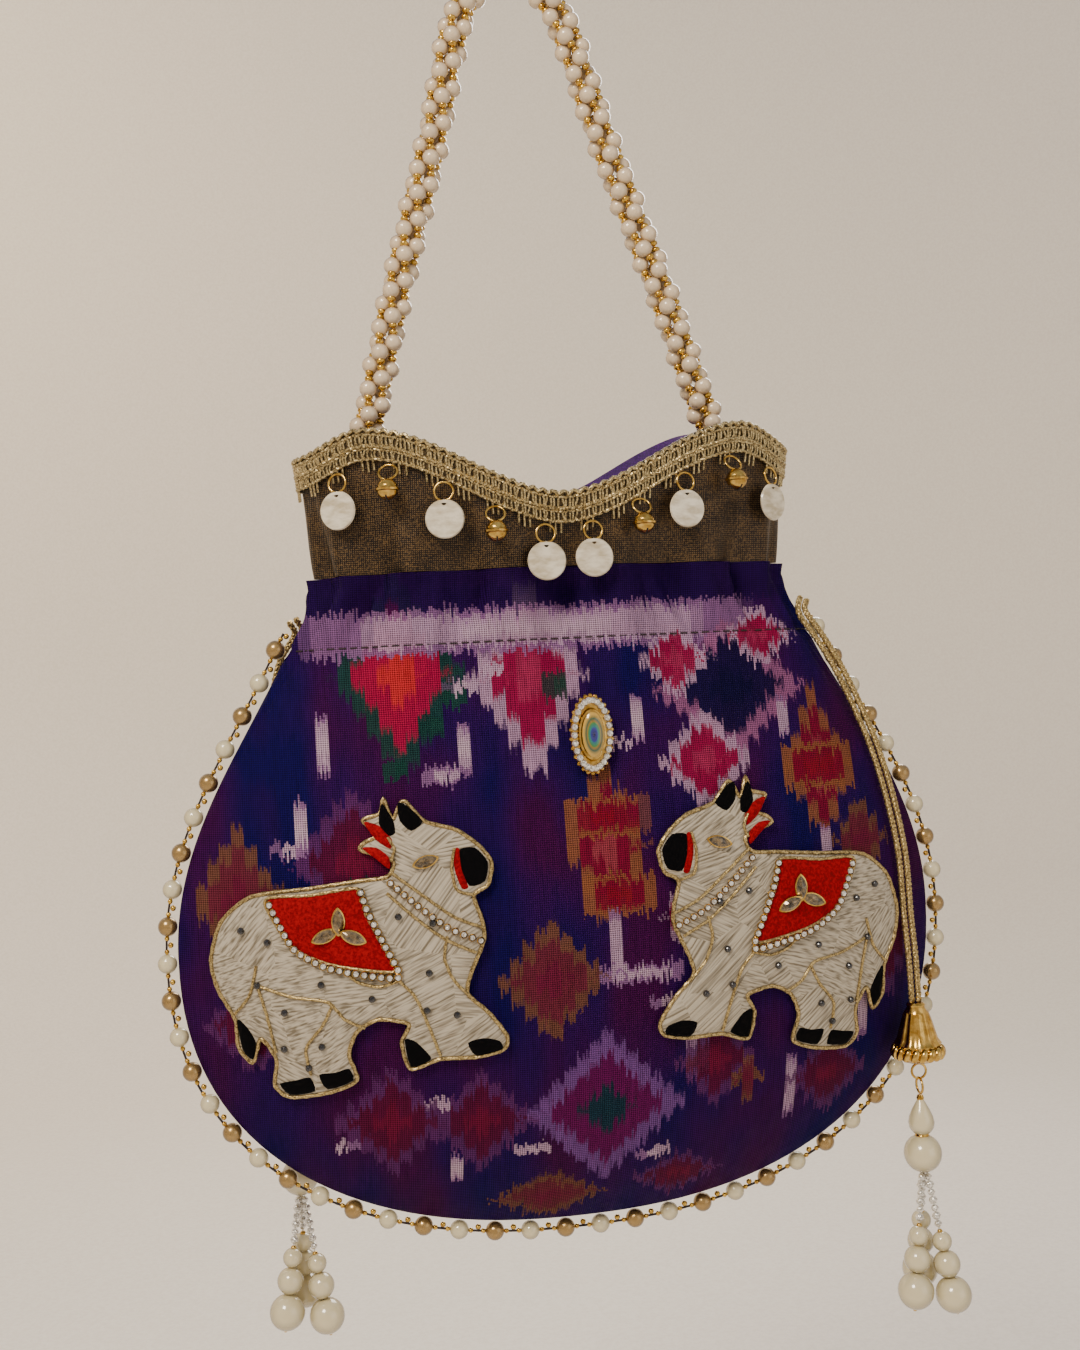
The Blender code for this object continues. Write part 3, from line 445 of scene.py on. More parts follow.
class Finishes:
    """Every finish of the bag, made once."""

    def __init__(self) -> None:
        """Make the materials."""
        # Ikat cotton: matt, with feathered figures along the warp
        self.ikat = [IkatCotton(f"ikat_cotton_woven_{name}", "#15045a", "#34045a", 0.74, bump_mm=0.12,
                                specular=0.06, thread_mm=0.62, crease_mm=3.2, zone=zone).dress()
                     for name, zone in IKAT_ZONES.items()]
        # Tissue: silk woven with flat metal thread, so it glints between brown threads; glints are also painted into
        # its colour
        self.tissue = Weave("tissue_silk_gold_thread", "#6c5332", "#0c0605", 0.42, metallic=0.5, grain_mm=6.0,
                            bump_mm=0.12, thread_mm=0.6, crease_mm=2.6).dress()
        # Satin: smooth, with a soft gloss
        self.satin = Weave("satin_lining_purple", "#5a1488", "#2c0a4c", 0.34, bump_mm=0.03,
                           thread_mm=0.5, crease_mm=1.5).dress()
        # Metallic lace: gilt thread over a cotton core
        self.lace = Finish("gilt_thread_lace", "#dcc793", "#4f3c20", 0.32, metallic=0.8, grain_mm=0.45,
                           bump_mm=0.14).dress()
        # The net behind the braids: a gilt net whose dark colour is painted shade behind the braids
        self.shadow = Finish("gilt_net_painted_shade", "#6a5636", "#241a10", 0.5, metallic=0.5, grain_mm=0.5,
                             bump_mm=0.1).dress()
        self.zari = Finish("zari_cord_twisted", "#cfb67c", "#5c4824", 0.36, metallic=0.75, grain_mm=0.5,
                           bump_mm=0.10).dress()
        # Glass pearl: lacquered, with a soft body and a clear gloss; its second tone is painted shade and dark
        # reflection towards the edge
        self.pearl = Pearl("lacquered_pearl_cream", "#e2cba8", "#7d5c38", 0.18, grain_mm=4.0, coat=0.6).dress()
        self.ivory = Pearl("lacquered_pearl_ivory", "#dccfa6", "#6e6038", 0.14, grain_mm=5.0, coat=0.8).dress()
        self.bronze = Pearl("lacquered_pearl_bronze", "#a88850", "#3a280f", 0.22, metallic=0.7, grain_mm=3.0,
                            coat=0.6).dress()
        # Gold plate on brass: bright and a little scratched
        self.gold = Finish("gold_plate_polished", "#dcb867", "#ad8438", 0.18, metallic=1.0, grain_mm=2.0,
                           bump_mm=0.02).dress()
        self.seed = Finish("seed_bead_gilt_glass", "#e6bc4a", "#9a6c1c", 0.18, metallic=0.85, grain_mm=0.8,
                           bump_mm=0.03, coat=0.6).dress()
        # Shell: polished mother of pearl with growth bands
        self.shell = Finish("mother_of_pearl_polished", "#e6dcc6", "#bcae90", 0.16, grain_mm=5.5,
                            stretch=(1.0, 1.0, 2.2), bump_mm=0.04, coat=0.8).dress()
        # The cows: white satin stitch, red felt, black velvet
        self.stitch = SatinStitch("satin_stitch_cotton_white", "#b8ad99", "#6e634f", 0.7, grain_mm=17.0,
                                  bump_mm=0.3, thread_mm=1.1).dress()
        self.felt = Finish("felt_red", "#9c020e", "#6c020a", 0.9, grain_mm=0.8, bump_mm=0.10,
                           specular=0.15).dress()
        self.black = Finish("velvet_black", "#050406", "#020203", 0.95, grain_mm=0.7, bump_mm=0.08,
                            specular=0.1).dress()
        # Glass beads and stones, the leaf stones with gilt behind them
        self.jet = Finish("bead_black_glass", "#121018", "#050508", 0.1, grain_mm=2.0, bump_mm=0.0,
                          coat=0.8).dress()
        self.crystal = Finish("rhinestone_cut_glass", "#fffcf6", "#968f80", 0.06, metallic=0.6, grain_mm=0.6,
                              bump_mm=0.25, coat=1.0).dress()
        self.amber = Finish("leaf_stone_gilt_glass", "#8a7450", "#2c2216", 0.08, metallic=0.5, grain_mm=1.6,
                            bump_mm=0.04, coat=1.0).dress()
        # Threads: clear nylon through the pearls, dark cotton in the seams
        self.thread = Finish("nylon_thread_clear", "#e8e6dc", "#cfccc0", 0.3, grain_mm=0.6, bump_mm=0.02).dress()
        self.sewing = Finish("sewing_thread_dark", "#2b1a18", "#150c0c", 0.7, grain_mm=0.5, bump_mm=0.05).dress()
        self.enamel = self.peacock_enamel()
        # Painted wall and floor behind the bag
        self.wall = Finish("wall_paint_matt", "#efe9e0", "#e8e1d7", 0.95, grain_mm=3.0, bump_mm=0.25).dress()

    @staticmethod
    def peacock_enamel() -> bpy.types.Material:
        """Make the enamel of the brooch: an eye of rings in blue, green and gold.

        Returns:
            The finished material.
        """
        base = Finish("enamel_peacock_eye", "#100c40", "#1c2688", 0.14, coat=1.0)
        graph = base.start()
        low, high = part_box("brooch_stone")
        middle = (low + high) / 2.0 / MM
        half = (high - low) / 2.0 / MM
        offset = graph.vector("SUBTRACT", graph.place, tuple(middle))
        reach = graph.vector("LENGTH", graph.vector("MULTIPLY", offset, (1.0 / half.x, 0.0, 1.0 / half.z)))
        rings = graph.ramp(reach, (0.0, base.colour), (0.30, base.second), (0.36, "#0e6a70"), (0.52, "#2c7838"),
                           (0.60, "#8c6c20"), (0.72, "#164a36"), (0.9, "#c29a3a"))
        graph.wire("Base Color", rings)
        return graph.material


@dataclass
class ClothForm:
    """The shape of the bag's cloth: its outline, its pillow depth and its gathers."""

    axis_x: float = 0.005
    folds: int = 14
    half_width: float = 0.1155
    half_depth: float = 0.032
    drop: float = 0.0873
    roundness: float = 2.3
    widest_z: float = -0.2924
    neck_z: float = -0.187
    neck_half: Point = (0.0685, 0.021)
    mouth_half: Point = (0.075, 0.027)
    shoulder: Point = (0.023, -0.042)
    flank_rise: float = 0.037
    gather_depth: float = 0.0022
    gather_up: float = 0.022
    gather_down: float = 0.026
    pinch: float = 0.5
    rim_peak_z: float = -0.143
    rim_sag: float = 0.020
    rim_end_drop: float = 0.006
    rim_peak_x: float = 0.056
    table: list[Point] = field(default_factory=list)

    def __post_init__(self) -> None:
        """Work out the side outline once, as heights with their half-widths."""
        stations = ((self.neck_half[0], self.neck_z),
                    (self.neck_half[0] + self.shoulder[0], self.neck_z + self.shoulder[1]),
                    (self.half_width, self.widest_z + self.flank_rise), (self.half_width, self.widest_z))
        for step in range(201):
            share = step / 200.0
            rest = 1.0 - share
            weights = (rest ** 3, 3 * share * rest ** 2, 3 * share ** 2 * rest, share ** 3)
            self.table.append((sum(w * s[1] for w, s in zip(weights, stations)),
                               sum(w * s[0] for w, s in zip(weights, stations))))
        self.table.reverse()

    @staticmethod
    def ease(share: float) -> float:
        """Smooth a share between nought and one."""
        share = min(1.0, max(0.0, share))
        return share * share * (3.0 - 2.0 * share)

    def section(self, z: float) -> Point:
        """Read the cloth's half-width and half-depth at a height.

        Args:
            z: The height.

        Returns:
            The half-width and the half-depth.
        """
        if z >= self.neck_z:
            share = ((z - self.neck_z) / (self.rim_peak_z - self.neck_z)) ** 0.8
            return (self.neck_half[0] + (self.mouth_half[0] - self.neck_half[0]) * share,
                    self.neck_half[1] + (self.mouth_half[1] - self.neck_half[1]) * share)
        if z <= self.widest_z:
            fall = min(1.0, (self.widest_z - z) / self.drop)
            core = max(0.0, 1.0 - fall ** self.roundness)
            return self.half_width * core ** (1.0 / self.roundness), self.half_depth * core ** 0.75
        share = self.ease((self.neck_z - z) / (self.neck_z - self.widest_z))
        width = float(np.interp(z, [row[0] for row in self.table], [row[1] for row in self.table]))
        return width, self.neck_half[1] + (self.half_depth - self.neck_half[1]) * share

    def gather(self, z: float) -> float:
        """Return how deep the gathers are at a height."""
        reach = self.gather_up if z > self.neck_z else self.gather_down
        return self.gather_depth * math.exp(-((z - self.neck_z) / reach) ** 2)

    def pinched(self, z: float) -> float:
        """Return the power that draws the section to an edge at the side seams."""
        return 1.0 + self.pinch * self.ease((self.neck_z - z) / (self.neck_z - self.widest_z))

    def point(self, angle: float, z: float, inset: float = 0.0, crumple: float = 0.0) -> Vector:
        """Return a point of the cloth.

        Args:
            angle: The angle round the bag.
            z: The height.
            inset: How far inside the outer face it lies.
            crumple: The share of small uneven folds that is added to the gathers.

        Returns:
            The point.
        """
        half_width, half_depth = self.section(z)
        gather = self.gather(z)
        fine = 0.35 * math.sin(33.0 * angle + 1.3) + 0.25 * math.sin(51.0 * angle + 180.0 * z)
        fold = gather * (math.cos(self.folds * angle) + crumple * (fine - 0.25))
        across = math.sin(angle)
        return Vector((self.axis_x + (half_width - inset + fold) * math.cos(angle),
                       (half_depth - inset + fold) * math.copysign(abs(across) ** self.pinched(z), across), z))

    def depth(self, x: float, z: float) -> float:
        """Return how far the body reaches from the seam plane at a place across it."""
        half_width, half_depth = self.section(z)
        room = max(0.0, 1.0 - ((x - self.axis_x) / max(half_width, 1e-6)) ** 2)
        return half_depth * room ** (self.pinched(z) / 2.0)

    def front(self, x: float, z: float, lift: float) -> Vector:
        """Return a point that stands off the front of the body."""
        return Vector((x, -self.depth(x, z) - lift, z))

    def rim(self, angle: float) -> float:
        """Return the height of the mouth's edge at an angle.

        Args:
            angle: The angle round the bag.

        Returns:
            The height.
        """
        x = abs(self.mouth_half[0] * math.cos(angle))
        if x <= self.rim_peak_x:
            return self.rim_peak_z - self.rim_sag * self.ease(1.0 - x / self.rim_peak_x)
        rest = (x - self.rim_peak_x) / (self.mouth_half[0] - self.rim_peak_x)
        return self.rim_peak_z - self.rim_end_drop * self.ease(rest)


def in_scene(name: str, data: bpy.types.ID) -> bpy.types.Object:
    """Put a mesh, a light or a camera in the scene and return its object."""
    item = bpy.data.objects.new(name, data)
    bpy.context.scene.collection.objects.link(item)
    return item


def circle(centre: Vector, radius: float, first: Vector, second: Vector, count: int) -> list[Vector]:
    """Return points on a circle, from its first direction towards its second."""
    return [centre + radius * (math.cos(TAU * step / count) * first + math.sin(TAU * step / count) * second)
            for step in range(count)]


class Workshop:
    """The shared ways of making a piece: its mesh, its finish and what it rides on."""

    def __init__(self, finishes: Finishes, form: ClothForm) -> None:
        """Keep the finishes and the cloth's shape.

        Args:
            finishes: The materials.
            form: The cloth's shape.
        """
        self.finishes = finishes
        self.form = form

    @staticmethod
    def mesh(name: str, points: list[Vector], faces: list[tuple[int, ...]]) -> bpy.types.Mesh:
        """Build a mesh with its faces turned outwards.

        Args:
            name: The mesh's name.
            points: Its points.
            faces: Its faces as indices.

        Returns:
            The mesh.
        """
        mesh = bpy.data.meshes.new(name)
        mesh.from_pydata([tuple(point) for point in points], [], faces)
        work = bmesh.new()
        work.from_mesh(mesh)
        bmesh.ops.recalc_face_normals(work, faces=work.faces)
        work.to_mesh(mesh)
        work.free()
        mesh.shade_smooth()
        return mesh

    def piece(self, name: str, mesh: bpy.types.Mesh, materials: list[bpy.types.Material], body: str,
              slot: str, *nodes: str, crease: float = 50.0) -> bpy.types.Object:
        """Place a mesh in the scene as one piece of the bag.

        Args:
            name: The piece's name.
            mesh: Its mesh.
            materials: Its finishes, in the order that its faces use.
            body: The body that it moves with.
            slot: The name of a finish in the record; not used.
            nodes: The solids that it stands for.
            crease: The angle, in degrees, from which an edge shows as sharp.

        Returns:
            The new object.
        """
        for material in materials:
            mesh.materials.append(material)
        mesh.set_sharp_from_angle(angle=math.radians(crease))
        item = in_scene(name, mesh)
        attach(item, body)
        if nodes:
            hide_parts(*nodes)
        LOG.info("%s: %d faces, on %s", name, len(mesh.polygons), body)
        return item


@dataclass
class Builder:
    """Collects many small forms, each with its finish, into one mesh."""

    points: list[Vector] = field(default_factory=list)
    faces: list[tuple[int, ...]] = field(default_factory=list)
    marks: list[int] = field(default_factory=list)

    def add(self, points: list[Vector], faces: list[tuple[int, ...]], mark: int = 0) -> None:
        """Add points and faces, which count from the first of these points."""
        start = len(self.points)
        self.points += points
        self.faces += [tuple(start + index for index in face) for face in faces]
        self.marks += [mark] * len(faces)

    def ball(self, centre: Vector, radius: float, mark: int = 0, axis: Vector | None = None,
             squash: float = 1.0, rings: int = 8, sides: int = 12) -> None:
        """Add a ball, or a flattened one.

        Args:
            centre: Its middle.
            radius: Its radius.
            mark: Its finish.
            axis: The line of its poles.
            squash: Its length along the poles against its width.
            rings: The rings of faces.
            sides: The faces of each ring.
        """
        pole = (axis or UP).normalized()
        self.turned(centre, pole, [(radius * math.sin(math.pi * step / rings),
                                    radius * squash * math.cos(math.pi * step / rings))
                                   for step in range(rings + 1)], mark, sides)

    def turned(self, centre: Vector, pole: Vector, profile: Sequence[Point], mark: int = 0, sides: int = 16,
               flute: tuple[int, float] = (0, 0.0)) -> None:
        """Turn a profile about a line through its centre.

        Args:
            centre: Where the profile's heights count from.
            pole: The line's direction.
            profile: Pairs of radius and height, from one pole to the other.
            mark: The finish.
            sides: The faces of each ring.
            flute: How many flutes the form has and how deep they are, as a share of the radius.
        """
        pole = pole.normalized()
        flat = pole.orthogonal().normalized()
        side_way = pole.cross(flat)
        points: list[Vector] = []
        for radius, height in profile:
            for side in range(sides):
                turn = TAU * side / sides
                out = max(radius, 1e-6) * (1.0 + flute[1] * math.cos(flute[0] * turn))
                points.append(centre + pole * height + out * (math.cos(turn) * flat + math.sin(turn) * side_way))
        self.add(points, self.bands(len(profile), sides), mark)

    @staticmethod
    def bands(rows: int, columns: int, loop: bool = False, closed: bool = True) -> list[tuple[int, ...]]:
        """Return the faces between rows of points.

        Args:
            rows: How many rows there are.
            columns: How many points a row has.
            loop: Whether the last row joins the first.
            closed: Whether each row runs round to its start.

        Returns:
            The faces.
        """
        faces = []
        for row in range(rows if loop else rows - 1):
            below = (row + 1) % rows
            for column in range(columns if closed else columns - 1):
                beside = (column + 1) % columns
                faces.append((row * columns + column, row * columns + beside,
                              below * columns + beside, below * columns + column))
        return faces

    def tube(self, route: list[Vector], radius: float, mark: int = 0, sides: int = 8, plies: int = 0,
             lay: float = 0.003, loop: bool = False) -> None:
        """Sweep a round or a twisted tube along a route.

        Args:
            route: The points that it follows.
            radius: Its radius.
            mark: Its finish.
            sides: The points of its section.
            plies: How many plies are twisted together, or 0 for a plain tube.
            lay: The length of one turn of the plies.
            loop: Whether the route closes on itself.
        """
        points: list[Vector] = []
        count = len(route)
        travel = 0.0
        flat = BACKWARD
        for index, centre in enumerate(route):
            after = route[(index + 1) % count] if loop else route[min(index + 1, count - 1)]
            before = route[index - 1] if loop or index else route[0]
            ahead = (after - before).normalized()
            flat = (flat - ahead * flat.dot(ahead)).normalized()
            side_way = ahead.cross(flat)
            if index:
                travel += (centre - route[index - 1]).length
            for side in range(sides):
                turn = TAU * side / sides
                swell = 1.0
                if plies:
                    swell = 0.78 + 0.22 * abs(math.cos(0.5 * plies * (turn - TAU * travel / lay)))
                points.append(centre + radius * swell * (math.cos(turn) * flat + math.sin(turn) * side_way))
        faces = self.bands(count, sides, loop=loop)
        if not loop:
            faces.append(tuple(range(sides)))
            faces.append(tuple((count - 1) * sides + side for side in range(sides)))
        self.add(points, faces, mark)

    def build(self, name: str) -> bpy.types.Mesh:
        """Make the mesh from all that was added."""
        mesh = Workshop.mesh(name, self.points, self.faces)
        mesh.polygons.foreach_set("material_index", self.marks)
        return mesh


def smooth_route(stations: list[Vector], steps: int) -> list[Vector]:
    """Read points from a smooth curve through a route's own points.

    Args:
        stations: The route's points.
        steps: How many points each stretch gets.

    Returns:
        The points.
    """
    padded = [stations[0] * 2 - stations[1], *stations, stations[-1] * 2 - stations[-2]]
    points = []
    for index in range(len(stations) - 1):
        before, start, end, after = padded[index:index + 4]
        for step in range(steps):
            t = step / steps
            points.append(0.5 * (2 * start + (end - before) * t
                                 + (2 * before - 5 * start + 4 * end - after) * t ** 2
                                 + (3 * start - before - 3 * end + after) * t ** 3))
    points.append(stations[-1].copy())
    return points


def spaced(points: list[Vector], pitch: float) -> list[Vector]:
    """Return points at an even pitch along a line.

    Args:
        points: The line's points.
        pitch: The distance between the new points.

    Returns:
        The new points, both ends included.
    """
    places = np.array([tuple(point) for point in points])
    lengths = np.concatenate(([0.0], np.cumsum(np.linalg.norm(np.diff(places, axis=0), axis=1))))
    targets = np.linspace(0.0, lengths[-1], max(2, round(lengths[-1] / pitch)) + 1)
    return [Vector([float(np.interp(target, lengths, places[:, axis])) for axis in range(3)])
            for target in targets]


# Each light's name, place, target, size in metres, power in watts and colour
LIGHTS = (("key", (-0.45, -0.60, 0.42), (0.0, 0.0, -0.25), 0.30, 8.5, (1.0, 0.90, 0.78)),
          ("fill", (0.75, -0.9, -0.1), (0.0, 0.0, -0.25), 0.8, 1.4, (0.86, 0.92, 1.0)),
          ("back", (0.40, 0.75, 0.35), (0.0, 0.0, -0.25), 0.5, 6.0, (1.0, 0.95, 0.9)),
          ("wash", (-0.7, 0.6, 0.7), (-0.4, 1.6, 0.2), 0.5, 10.0, (1.0, 0.78, 0.5)))
SKY_COLOUR = (0.90, 0.93, 1.0, 1.0)
SKY_STRENGTH = 0.54


@dataclass
class Studio:
    """The camera at the photograph's angle, the pale wall and floor, and the soft lights."""

    distance: float = 0.450
    height: float = -0.2154
    yaw: float = math.radians(10.0)
    roll: float = math.radians(-2.8)
    pixels_per_mm: float = 3.3
    picture_height: int = 1350
    sensor_mm: float = 36.0
    room: float = 1.6
    facets: int = 96
    sweep: float = 0.5
    wall_top: float = 0.9
    floor_z: float = -0.62

    def build(self, shop: Workshop) -> None:
        """Set up the camera, the backdrop and the lights.

        Args:
            shop: The workshop, for the wall's finish.
        """
        camera = bpy.data.cameras.new("photo_camera")
        camera.sensor_width = self.sensor_mm
        camera.lens = self.sensor_mm * self.pixels_per_mm * self.distance / MM / self.picture_height
        camera.clip_start = 0.01
        item = in_scene("photo_camera", camera)
        item.location = (-self.distance * math.sin(self.yaw), -self.distance * math.cos(self.yaw), self.height)
        turn = Matrix.Rotation(-self.yaw, 4, "Z") @ Matrix.Rotation(math.radians(90.0), 4, "X")
        item.rotation_euler = (turn @ Matrix.Rotation(self.roll, 4, "Z")).to_euler()
        bpy.context.scene.camera = item
        self.backdrop(shop)
        self.lights()

    def backdrop(self, shop: Workshop) -> None:
        """Add the floor and a round wall as one swept sheet, so that every side has the same ground.

        Args:
            shop: The workshop.
        """
        turns = [0.5 * math.pi * step / 8 for step in range(9)]
        corner = [(self.room - self.sweep + self.sweep * math.sin(turn),
                   self.floor_z + self.sweep - self.sweep * math.cos(turn)) for turn in turns]
        builder = Builder()
        builder.turned(Vector(), UP, [(0.0, self.floor_z), (0.6, self.floor_z), *corner, (self.room, self.wall_top)],
                       0, self.facets)
        mesh = builder.build("backdrop")
        mesh.materials.append(shop.finishes.wall)
        in_scene("backdrop", mesh)

    @staticmethod
    def lights() -> None:
        """Add the soft lights: a warm one high on the left, a cool fill, one behind and one on the wall."""
        for name, place, target, size, power, colour in LIGHTS:
            light = bpy.data.lights.new(name, "AREA")
            light.size = size
            light.energy = power
            light.color = colour
            item = in_scene(name, light)
            item.visible_camera = False
            item.location = place
            item.rotation_euler = (Vector(target) - Vector(place)).to_track_quat("-Z", "Y").to_euler()
        world = bpy.data.worlds.new("studio")
        world.use_nodes = True
        sky = world.node_tree.nodes["Background"].inputs
        sky["Color"].default_value, sky["Strength"].default_value = SKY_COLOUR, SKY_STRENGTH
        bpy.context.scene.world = world


@dataclass
class DrawCord:
    """A draw cord: two twisted strands side by side from the casing to the tassel."""

    side: str
    stations: tuple[tuple[float, float, float], ...]
    diameter: float = 0.0044
    braid_offset: float = 0.00112
    swing: float = 0.00048
    thread_radius: float = 0.00058
    lay: float = 0.0042

    def build(self, shop: Workshop, tassel: list[bpy.types.Object]) -> None:
        """Build the cord.

        Args:
            shop: The workshop.
            tassel: The pieces of the tassel at its end; not used.
        """
        route = spaced(smooth_route([Vector(place) for place in self.stations], 12), 0.0005)
        builder = Builder()
        for way in (-1.0, 1.0):
            for ply in range(3):
                thread = []
                travel = 0.0
                for index, centre in enumerate(route):
                    ahead = (route[min(index + 1, len(route) - 1)] - route[max(index - 1, 0)]).normalized()
                    across = ahead.cross(BACKWARD).normalized()
                    if index:
                        travel += (centre - route[index - 1]).length
                    turn = TAU * (travel / self.lay + ply / 3) + way
                    offset = way * self.braid_offset + self.swing * math.sin(turn)
                    depth = 0.7 * self.swing * math.sin(2.0 * turn)
                    thread.append(centre + across * offset + ahead.cross(across) * depth)
                builder.tube(thread, self.thread_radius, sides=8, plies=2, lay=0.0018)
        item = shop.piece(f"{self.side}_cord_strands", builder.build("cord"), [shop.finishes.zari], "bag",
                          "zari_cord", f"{self.side}_draw_cord")


@dataclass
class BagCloth:
    """The ikat pouch, the tissue collar and the satin lining."""

    columns: int = 336
    cloth: float = 0.0012
    lining_gap: float = 0.0008
    lining: float = 0.0006
    stitch_drop: float = 0.018
    peek: float = 0.004
    ruffle: float = 0.0026
    crease_x: float = 0.0125
    crease_foot: float = -0.262
    pleat_depth: float = 0.0030
    heading: float = 0.0027
    hem: float = 0.022

    def build(self, shop: Workshop) -> None:
        """Build the three cloths.

        Args:
            shop: The workshop.
        """
        form = shop.form
        angles = [TAU * column / self.columns for column in range(self.columns)]
        mesh = self.pouch(form, angles)
        pouch = shop.piece("pouch_cloth", mesh, shop.finishes.ikat, "bag", "ikat_cotton_purple", "pouch")
        for face in mesh.polygons:
            height = face.center.z / MM
            face.material_index = sum(height > zone[1] for zone in IKAT_ZONES.values())
        base = form.neck_z + 0.003
        shares = [step / 14 for step in range(15)]

        def ring(share: float, inset: float, drop: float, crumple: float) -> list[Vector]:
            """Return a ring of cloth between the collar's base and the mouth."""
            return [form.point(angle, base + (form.rim(angle) - base) * share - drop, inset, crumple)
                    for angle in angles]

        inner = [ring(share, self.cloth, 0.0, 0.2) for share in reversed(shares)]
        outer = [ring(share, 0.0, 0.0, 0.2) for share in shares]
        collar = shop.piece("collar_tissue", self.sleeve(inner + outer), [shop.finishes.tissue], "bag",
                            "tissue_antique_gold", "collar")
        outside = self.cloth + self.lining_gap
        foot = form.neck_z - self.hem
        rows = [foot + (base - foot) * step / 18 for step in range(18)]
        layers = []
        for inset in (outside + self.lining, outside):
            low = [[form.point(angle, z, inset + self.pleat(form, angle, z), self.crumple(form, z))
                    for angle in angles] for z in rows]
            high = [self.raised(form, ring(share, inset, 0.001 * share, 0.2), share) for share in shares]
            layers.append(low + high)
        lining = shop.piece("lining_satin", self.sleeve(list(reversed(layers[0])) + layers[1]),
                            [shop.finishes.satin], "bag", "satin_purple", "lining")
        self.stitching(shop, angles)

    def raised(self, form: ClothForm, ring: list[Vector], share: float) -> list[Vector]:
        """Lift the lining's edge at the back, where it shows above the front's dip."""
        lift = self.peek * form.ease((share - 0.6) / 0.4)
        half = form.mouth_half[0]
        return [point + Vector((0.0, 0.0, lift * form.ease(point.y / 0.012)
                                * form.ease((half - abs(point.x - form.axis_x)) / 0.03))) for point in ring]

    def sleeve(self, rings: list[list[Vector]]) -> bpy.types.Mesh:
        """Build a sleeve from rings that run round its section."""
        return Workshop.mesh("sleeve", [point for ring in rings for point in ring],
                             Builder.bands(len(rings), self.columns, loop=True))

    def dent(self, form: ClothForm, z: float) -> float:
        """Return how far the casing's stitch line pulls the cloth in at a height."""
        line = form.neck_z - self.stitch_drop
        return 0.0008 * math.exp(-((z - line) / 0.0014) ** 2)

    def pouch(self, form: ClothForm, angles: list[float]) -> bpy.types.Mesh:
        """Build the pouch with both faces of its cloth, open at the neck and closed below.

        Args:
            form: The cloth's shape.
            angles: The angles round the bag.

        Returns:
            The mesh.
        """
        top = form.neck_z + self.heading
        upper = [top + (form.widest_z - top) * step / 70 for step in range(70)]
        lower = [math.sin(0.5 * math.pi * step / 34) ** (2.0 / form.roundness) for step in range(34)]
        inner = [[form.point(angle, z, self.cloth + self.pleat(form, angle, z) - self.ruffled(form, angle, z),
                             self.crumple(form, z)) for angle in angles] for z in upper[:24] + upper[24::6]]
        for fall in lower[::4]:
            z = form.widest_z - form.drop * fall
            inner.append([self.shrunk(form, form.point(angle, z)) for angle in angles])
        rings = list(reversed(inner)) + [[self.puckered(form, angle, z) for angle in angles] for z in upper]
        rings += [[self.puckered(form, angle, form.widest_z - form.drop * fall) for angle in angles]
                  for fall in lower]
        points = [point for ring in rings for point in ring]
        faces = Builder.bands(len(rings), self.columns)
        floor = Vector((form.axis_x, 0.0, form.widest_z - form.drop))
        for first, middle in ((0, self.shrunk(form, floor)), (len(points) - self.columns, floor)):
            for column in range(self.columns):
                faces.append((len(points), first + column, first + (column + 1) % self.columns))
            points.append(middle)
        return Workshop.mesh("pouch", points, faces)

    def shrunk(self, form: ClothForm, point: Vector) -> Vector:
        """Return the place on the cloth's inner face that lies behind a place on its outer one."""
        return Vector((form.axis_x + (point.x - form.axis_x) * (1.0 - self.cloth / form.half_width),
                       point.y * (1.0 - self.cloth / form.half_depth),
                       form.widest_z + (point.z - form.widest_z) * (1.0 - self.cloth / form.drop)))

    def pleat(self, form: ClothForm, angle: float, z: float) -> float:
        """Return how far the heading's uneven pleats go in between collar and casing stitches."""
        below = form.neck_z + self.heading - z
        reach = (0.3 + 0.7 * form.ease(below / 0.005)) * form.ease((self.stitch_drop + 0.002 - below) / 0.014)
        turn = 8.5 * angle + 0.9 * math.sin(3.0 * angle + 0.6)
        return self.pleat_depth * max(0.0, reach) * (1.0 - abs(math.sin(turn))) ** 2

    def crumple(self, form: ClothForm, z: float) -> float:
        """Return the share of small uneven folds at a height, which grows below the collar."""
        return 0.2 + 0.7 * form.ease((form.neck_z - 0.001 - z) / 0.006)

    def puckered(self, form: ClothForm, angle: float, z: float) -> Vector:
        """Return a point of the pouch's face, with the casing's dent and soft waves below it.

        Args:
            form: The cloth's shape.
            angle: The angle round the bag.
            z: The height.

        Returns:
            The point.
        """
        low = form.ease((form.neck_z - z) / 0.05) * form.ease((z - form.widest_z) / 0.06)
        wave = 0.0006 * low * (math.sin(9.0 * angle + 2.0) + 0.6 * math.sin(17.0 * angle)) * abs(math.sin(angle))
        fold = 0.0
        if angle > math.pi and z > self.crease_foot:
            x = form.axis_x + form.section(z)[0] * math.cos(angle)
            fold = (0.0013 * math.exp(-((x - self.crease_x) / 0.0022) ** 2)
                    * form.ease((z - self.crease_foot) / 0.03))
        inset = self.dent(form, z) + self.pleat(form, angle, z) + fold - wave - self.ruffled(form, angle, z)
        return form.point(angle, z, inset, self.crumple(form, z))

    def ruffled(self, form: ClothForm, angle: float, z: float) -> float:
        """Return how far the gathered top edge stands out, which it does beside the charms only."""
        high = form.ease((z - form.neck_z + 0.010) / 0.010)
        side = form.ease((abs(math.cos(angle)) * form.neck_half[0] - 0.030) / 0.018)
        return self.ruffle * high * side * (0.5 + 0.5 * math.sin(24.0 * angle + 1.0))

